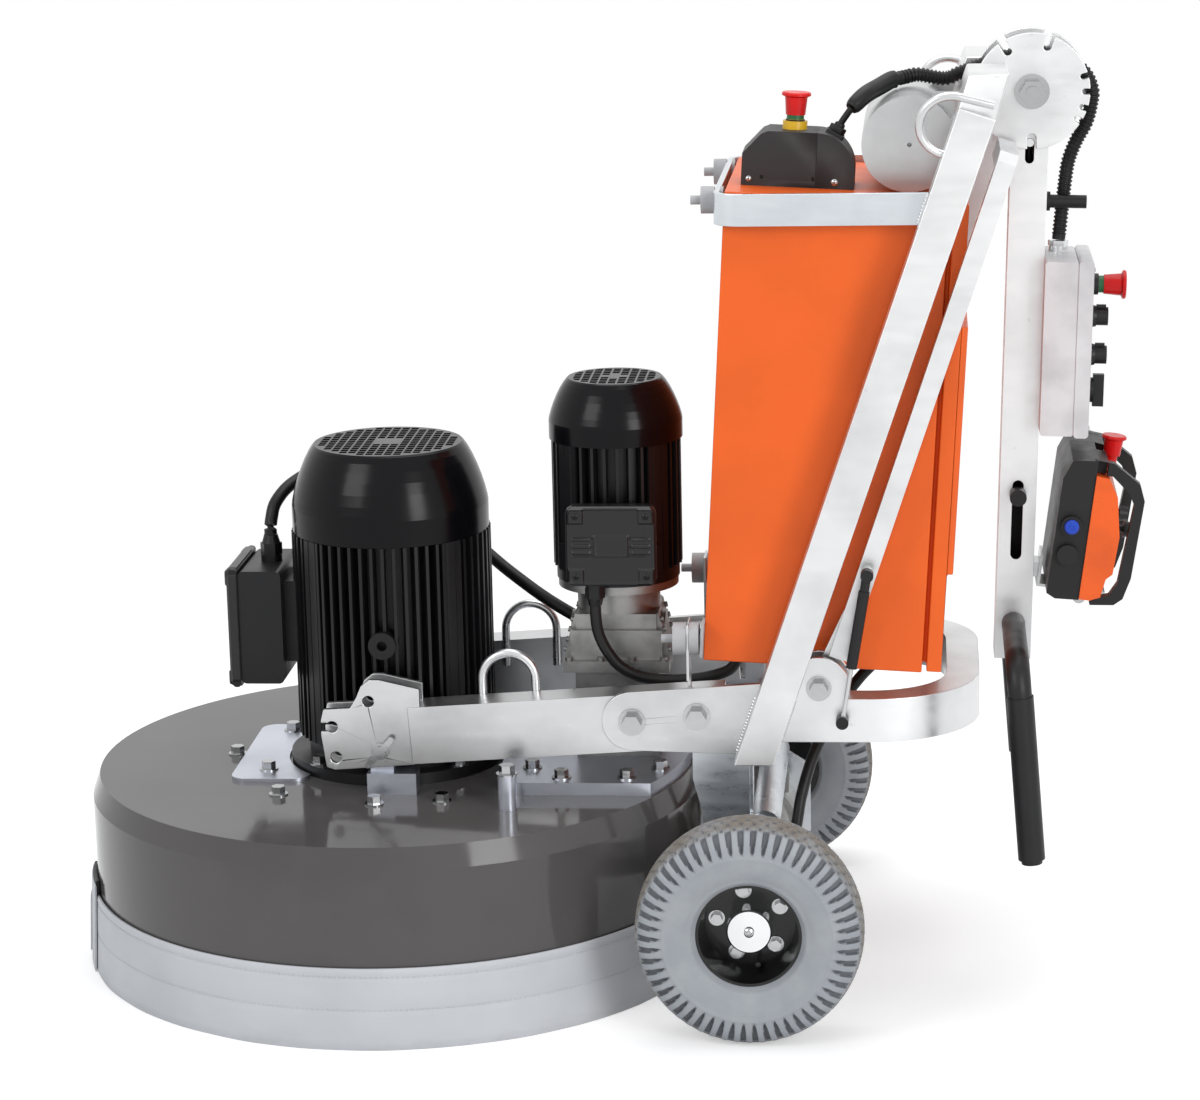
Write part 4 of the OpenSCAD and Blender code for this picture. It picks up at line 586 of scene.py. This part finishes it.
POD_TOP, POD_MID, STOP_X = 709.0, -75.0, 85.0
lean = math.radians(25.6)
gland_axis = np.array([math.sin(lean), 0, math.cos(lean)])
gland_at = np.array([116.0, POD_MID, 636 + 21.0])
soft = even(spline(SLEEVE, 12), 4)
bulge = 11.4 + 0.6 * ease(0, 10, np.arange(len(soft)))
bulge[:3] = (8.5, 10.6, 11.3)
sleeve = piece("pod_lead", [
    tube(even(spline(POD_LEAD, 10), 3), 4.5, 14), tube(soft, bulge, 20),
    placed(slab(gland_at + 51 * gland_axis, gland_axis, (0, 1, 0), 14, 13, 5), on_cabinet),
    placed(lathe([(0, 55), (11, 55), (11.5, 56), (11.5, 63), (10.8, 64), (0, 64)], gland_at, gland_axis, 6),
           on_cabinet),
    placed(lathe([(0, 63), (7.2, 63), (7.2, 67), (6, 69), (0, 69)], gland_at, gland_axis, 32), on_cabinet)],
    "chassis", M["cable"])
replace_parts(sleeve, "chassis_cables")


# Stop buttons' necks

NECK = 11.6


def neck_ring(low, high, r, centre, axis, where):
    """Plain ring with softened rims, from a low to a high place along the button's axis."""
    return placed(lathe([(8.4, low), (r - 0.4, low), (r, low + 0.4), (r, high - 0.4), (r - 0.4, high), (8.4, high),
                         (8.4, low)], centre, axis, 48), where)


top_neck = (STOP_X, POD_MID, POD_TOP + 11)
box_neck = (90, 0, -264)
piece("top_neck_black", [neck_ring(0.2, 1.8, 13, top_neck, (0, 0, 1), on_cabinet)], "chassis", M["plastic"])
piece("top_neck_green", [neck_ring(1.8, 9.6, NECK, top_neck, (0, 0, 1), on_cabinet)], "chassis", M["green"])
piece("box_neck_black", [neck_ring(0.2, 9.8, 14.5, box_neck, (1, 0, 0), on_mast)], "mast", M["plastic"])
piece("box_neck_green", [neck_ring(9.8, 18.6, NECK, box_neck, (1, 0, 0), on_mast)], "mast", M["green"])


# Soft edges on the pressed, welded and moulded pieces, so that their corners catch the light

EDGES = {
    2.2: ["cabinet_body", "cabinet_cover", "top_pod", "control_box_lid", "rear_bow", "legs", "mast_tube"],
    1.6: ["front_arms", "tilt_arms", "terminal_boxes", "remote_shell", "remote_back", "remote_guard",
          "planet_gearbox"],
    0.8: ["side_plates", "cabinet_hoop", "index_discs", "axle_carrier", "deck_plates", "counterweight", "control_box",
          "handle_bar", "remote_cradle", "cable_peg", "main_motor_frame", "planet_motor_frame"],
}
WIDE_FLATS = ("mast_tube", "rear_bow", "tilt_arms", "index_discs", "legs")  # their flats become single faces first
for width, names in EDGES.items():
    for n in names:
        N[n].modifiers.new("weld", "WELD").merge_threshold = 1e-5
        if n in WIDE_FLATS:
            flat = N[n].modifiers.new("faces", "DECIMATE")
            flat.decimate_type, flat.angle_limit, flat.delimit = "DISSOLVE", math.radians(0.3), {"MATERIAL"}
        edge = N[n].modifiers.new("edge", "BEVEL")
        edge.width, edge.segments = width * MM, 2
        edge.limit_method, edge.angle_limit = "ANGLE", math.radians(38)
        N[n].modifiers.new("flat", "WEIGHTED_NORMAL").weight = 100


# Screws

def corners(u, v):
    """The four points at plus and minus two half sizes."""
    return [(s * u, t * v) for s in (-1, 1) for t in (-1, 1)]


box_screws = [placed(screw_head((90, y, -342.5 + z), (1, 0, 0), 4.2), on_mast) for y, z in corners(66, 108)]
piece("box_screws", box_screws, "mast", M["zinc"])
pod_screws = [placed(screw_head((x, -117, 645), (0, -1, 0), r), on_cabinet) for x, r in ((142, 4.6), (28, 3.8))]
piece("pod_screws", pod_screws, "chassis", M["zinc"])


# Socket cover on the remote control's near side

cap = [(0, 0), (9.4, 0), (9.8, 0.5), (9.8, 4.2), (8.6, 5.4), (3.4, 5.8), (2.8, 5.2), (0, 5.2)]
piece("plug_cap", [placed(lathe(cap, (20, -115, 104), (0, -1, 0), 40), on_remote)], "remote", M["blue"])


# Terminal box lids

def cast_lid(half_a, half_b, corner, place):
    """Cast lid as a height field over a rounded rectangle. Rows of constant b are as wide as the corner circles leave
    them. The height is a plate with a soft edge and a raised rim, pads for the screws at the four corners, ribs each
    side and a plain raised panel in the middle; two points behind each row close the back."""
    b = half_b * np.sin(np.linspace(-1, 1, 121) * math.pi / 2)[:, None]
    over = np.maximum(np.abs(b) - half_b + corner, 0)
    wide = half_a - corner + np.sqrt(np.maximum(corner**2 - over**2, 0))
    a = wide * np.linspace(-1, 1, 161)[None, :]
    edge = np.minimum(wide - np.abs(a), half_b - np.abs(b))
    x, y = np.abs(a) / half_a, np.abs(b) / half_b
    h = 3.2 * ease(0, 3.2, edge) - 1.6 * ease(4.5, 6.5, edge)
    pad = np.maximum(np.abs(np.abs(a) - half_a + 14), np.abs(np.abs(b) - half_b + 14))
    h = h + 2.4 * (1 - ease(9, 11.5, pad))
    panel = (1 - ease(0.36, 0.40, x)) * (1 - ease(0.24, 0.29, y))
    inner = (1 - ease(0.31, 0.34, x)) * (1 - ease(0.18, 0.22, y))
    h = h + 2.0 * panel - 0.9 * inner
    rows = 1 - ease(0.30, 0.44, np.abs((np.abs(b) / half_b * 6.2 + 0.5) % 1 - 0.5) * 2)
    h = h + 1.7 * rows * (1 - ease(0.22, 0.26, y)) * ease(0.44, 0.48, x) * (1 - ease(0.84, 0.88, x))
    back = np.full((len(b), 1), -11.0)
    P = np.stack([np.concatenate([a, wide, -wide], 1), np.broadcast_to(b, (len(b), 163)),
                  np.concatenate([h, back, back], 1)], -1)
    return placed(grid(P, wrap_v=True, cap=True), place)


MAIN_LID, SMALL_LID = (-221, 0, 479), (321, -124, 609)


def on_main_lid(p):
    """Lid frame of the main motor's box, outwards to the front, to machine millimetres."""
    return np.stack([MAIN_LID[0] - p[:, 2], MAIN_LID[1] + p[:, 0], MAIN_LID[2] + p[:, 1]], 1)


def on_small_lid(p):
    """Lid frame of the planet motor's box, outwards to the near side, to machine millimetres."""
    return np.stack([SMALL_LID[0] + p[:, 0], SMALL_LID[1] - p[:, 2], SMALL_LID[2] + p[:, 1]], 1)


lids = [cast_lid(75, 86, 14, on_main_lid), cast_lid(62, 56, 12, on_small_lid)]
piece("lid_castings", lids, "head", M["lid"], 40)
screws = [placed(screw_head((a, b, 4.2), (0, 0, 1), 5.2), on_main_lid) for a, b in corners(61, 72)]
screws += [placed(screw_head((a, b, 4.2), (0, 0, 1), 4.6), on_small_lid) for a, b in corners(48, 42)]
piece("lid_screws", screws, "head", M["plastic"])


# Weld beads of the legs, on side plate, bow and hoop

LEG_FOOT, LEG_SLOPE, LEG_HALF = (518.5, 337.0), math.tan(math.radians(18.8)), 26.4
PLATE_Y, BOW_Y, BOW_TOP, HOOP_Y = 205.0, 235.0, 425.0, 215.0


def leg_edge(side, y, z, rear):
    """Point where the leg's front (-1) or rear (1) face meets a plane of constant y, at a height."""
    return LEG_FOOT[0] + (z - LEG_FOOT[1]) * LEG_SLOPE + rear * LEG_HALF, side * y, z


def bead(start, end, aim):
    """Round bead along a straight line: its radius ripples once every 4.5 mm and runs out at both ends."""
    path = even(np.array([start, end], float), 0.75)
    k = np.arange(len(path))
    r = 2.4 + 0.5 * np.sin(2 * math.pi * k / 6)
    return tube(path, r * (0.3 + 0.7 * ease(0, 4, np.minimum(k, k[::-1]))), 12, aim)


beads = []
for s in (-1, 1):
    top_rear = leg_edge(s, BOW_Y, BOW_TOP, 1)
    beads += [bead(leg_edge(s, BOW_Y, 366, 1), top_rear, (0, 1, 0)),
              bead(top_rear, (top_rear[0], s * (PLATE_Y + 1), BOW_TOP), (1, 0, 0)),
              bead(leg_edge(s, PLATE_Y, 339, 1), leg_edge(s, PLATE_Y, 364, 1), (0, 1, 0)),
              bead(leg_edge(s, PLATE_Y, 339, -1), leg_edge(s, PLATE_Y, 420, -1), (0, 1, 0)),
              bead(leg_edge(s, HOOP_Y, 1059, -1), leg_edge(s, HOOP_Y, 1099, -1), (0, 1, 0))]
piece("leg_welds", beads, "chassis", M["loop"])


# Light, floor and camera

scene.view_settings.view_transform = "Standard"


def seen_bright(tree):
    """1 for rays from the camera, from a mirror or through glass, and 0 for those that carry diffuse light."""
    path = tree.nodes.new("ShaderNodeLightPath")
    bright = path.outputs["Is Camera Ray"]
    for ray in ("Is Glossy Ray", "Is Transmission Ray"):
        most = tree.nodes.new("ShaderNodeMath")
        most.operation = "MAXIMUM"
        tree.links.new(bright, most.inputs[0])
        tree.links.new(path.outputs[ray], most.inputs[1])
        bright = most.outputs[0]
    return bright


sky = bpy.data.worlds.new("studio")
scene.world = sky
sky.use_nodes = True
wt = sky.node_tree
wt.nodes.clear()
out = wt.nodes.new("ShaderNodeOutputWorld")
mix = wt.nodes.new("ShaderNodeMixShader")
seen = wt.nodes.new("ShaderNodeBackground")
fill = wt.nodes.new("ShaderNodeBackground")
seen.inputs["Color"].default_value = (1, 1, 1, 1)
seen.inputs["Strength"].default_value = 1.0
fill.inputs["Color"].default_value = (0.95, 0.97, 1, 1)
fill.inputs["Strength"].default_value = 0.58
wt.links.new(seen_bright(wt), mix.inputs["Fac"])
wt.links.new(fill.outputs["Background"], mix.inputs[1])
wt.links.new(seen.outputs["Background"], mix.inputs[2])
wt.links.new(mix.outputs["Shader"], out.inputs["Surface"])


def area(name, place, aim, size, power, size_y=None):
    """A rectangular soft light at a place, turned to an aim point."""
    d = bpy.data.lights.new(name, "AREA")
    d.shape = "RECTANGLE"
    d.size, d.size_y = size, size_y or size
    d.energy = power
    o = bpy.data.objects.new(name, d)
    scene.collection.objects.link(o)
    o.location = place
    o.rotation_mode = "QUATERNION"
    o.rotation_quaternion = (Vector(aim) - Vector(place)).to_track_quat("-Z", "Y")
    return o


area("key", (-2.5, -2.8, 2.8), (0.1, 0, 0.6), 1.8, 48)
area("top", (0.2, 0.4, 3.6), (0, 0, 0.4), 2.4, 42)
area("right", (2.4, -3.1, 1.6), (0.1, 0, 0.4), 1.2, 62, 2.2)
area("back", (-1.0, 3.0, 2.2), (0, 0, 0.6), 2.0, 26).visible_glossy = False


def floor_finish():
    """White floor: lit by the lamps, with a part of its white seen directly, fading out into the background."""
    m = bpy.data.materials.new("floor_white")
    m.use_nodes = True
    t = m.node_tree
    t.nodes.clear()
    new, link = t.nodes.new, t.links.new
    paper, glow, clear = new("ShaderNodeBsdfDiffuse"), new("ShaderNodeEmission"), new("ShaderNodeBsdfTransparent")
    paper.inputs["Color"].default_value = (0.72, 0.72, 0.72, 1)
    part = new("ShaderNodeMath")
    part.operation = "MULTIPLY"
    part.inputs[1].default_value = 0.42
    link(seen_bright(t), part.inputs[0])
    link(part.outputs[0], glow.inputs["Strength"])
    both, fade = new("ShaderNodeAddShader"), new("ShaderNodeMixShader")
    link(paper.outputs[0], both.inputs[0])
    link(glow.outputs[0], both.inputs[1])
    away = new("ShaderNodeVectorMath")
    away.operation = "LENGTH"
    link(new("ShaderNodeTexCoord").outputs["Object"], away.inputs[0])
    far = new("ShaderNodeMapRange")
    far.interpolation_type = "SMOOTHSTEP"
    far.inputs["From Min"].default_value, far.inputs["From Max"].default_value = 1.1, 2.6
    link(away.outputs["Value"], far.inputs["Value"])
    link(far.outputs["Result"], fade.inputs["Fac"])
    link(both.outputs[0], fade.inputs[1])
    link(clear.outputs[0], fade.inputs[2])
    link(fade.outputs[0], new("ShaderNodeOutputMaterial").inputs["Surface"])
    return m


mesh = bpy.data.meshes.new("floor")
mesh.from_pydata([(-4, -4, 0), (4, -4, 0), (4, 4, 0), (-4, 4, 0)], [], [(0, 1, 2, 3)])
floor = bpy.data.objects.new("floor", mesh)
scene.collection.objects.link(floor)
floor.data.materials.append(floor_finish())

CAMERA_AT, FOCAL_PX, IMAGE_W, SENSOR = (0.741 + HX, -4.680, 1.684), 3448, 1200, 36
cam = bpy.data.objects.new("camera", bpy.data.cameras.new("camera"))
scene.collection.objects.link(cam)
scene.camera = cam
yaw, pitch, roll = math.radians(5.452), math.radians(13.280), math.radians(-1.279)
fwd = Vector((-math.sin(yaw) * math.cos(pitch), math.cos(yaw) * math.cos(pitch), -math.sin(pitch)))
side = Vector((math.cos(yaw), math.sin(yaw), 0))
top = side.cross(fwd)
right = side * math.cos(roll) + top * math.sin(roll)
up = top * math.cos(roll) - side * math.sin(roll)
turn = Matrix((right, up, -fwd)).transposed()
cam.matrix_world = Matrix.Translation(CAMERA_AT) @ turn.to_4x4()
cam.data.sensor_width = SENSOR
cam.data.lens = FOCAL_PX / IMAGE_W * SENSOR
cam.data.clip_end = 100
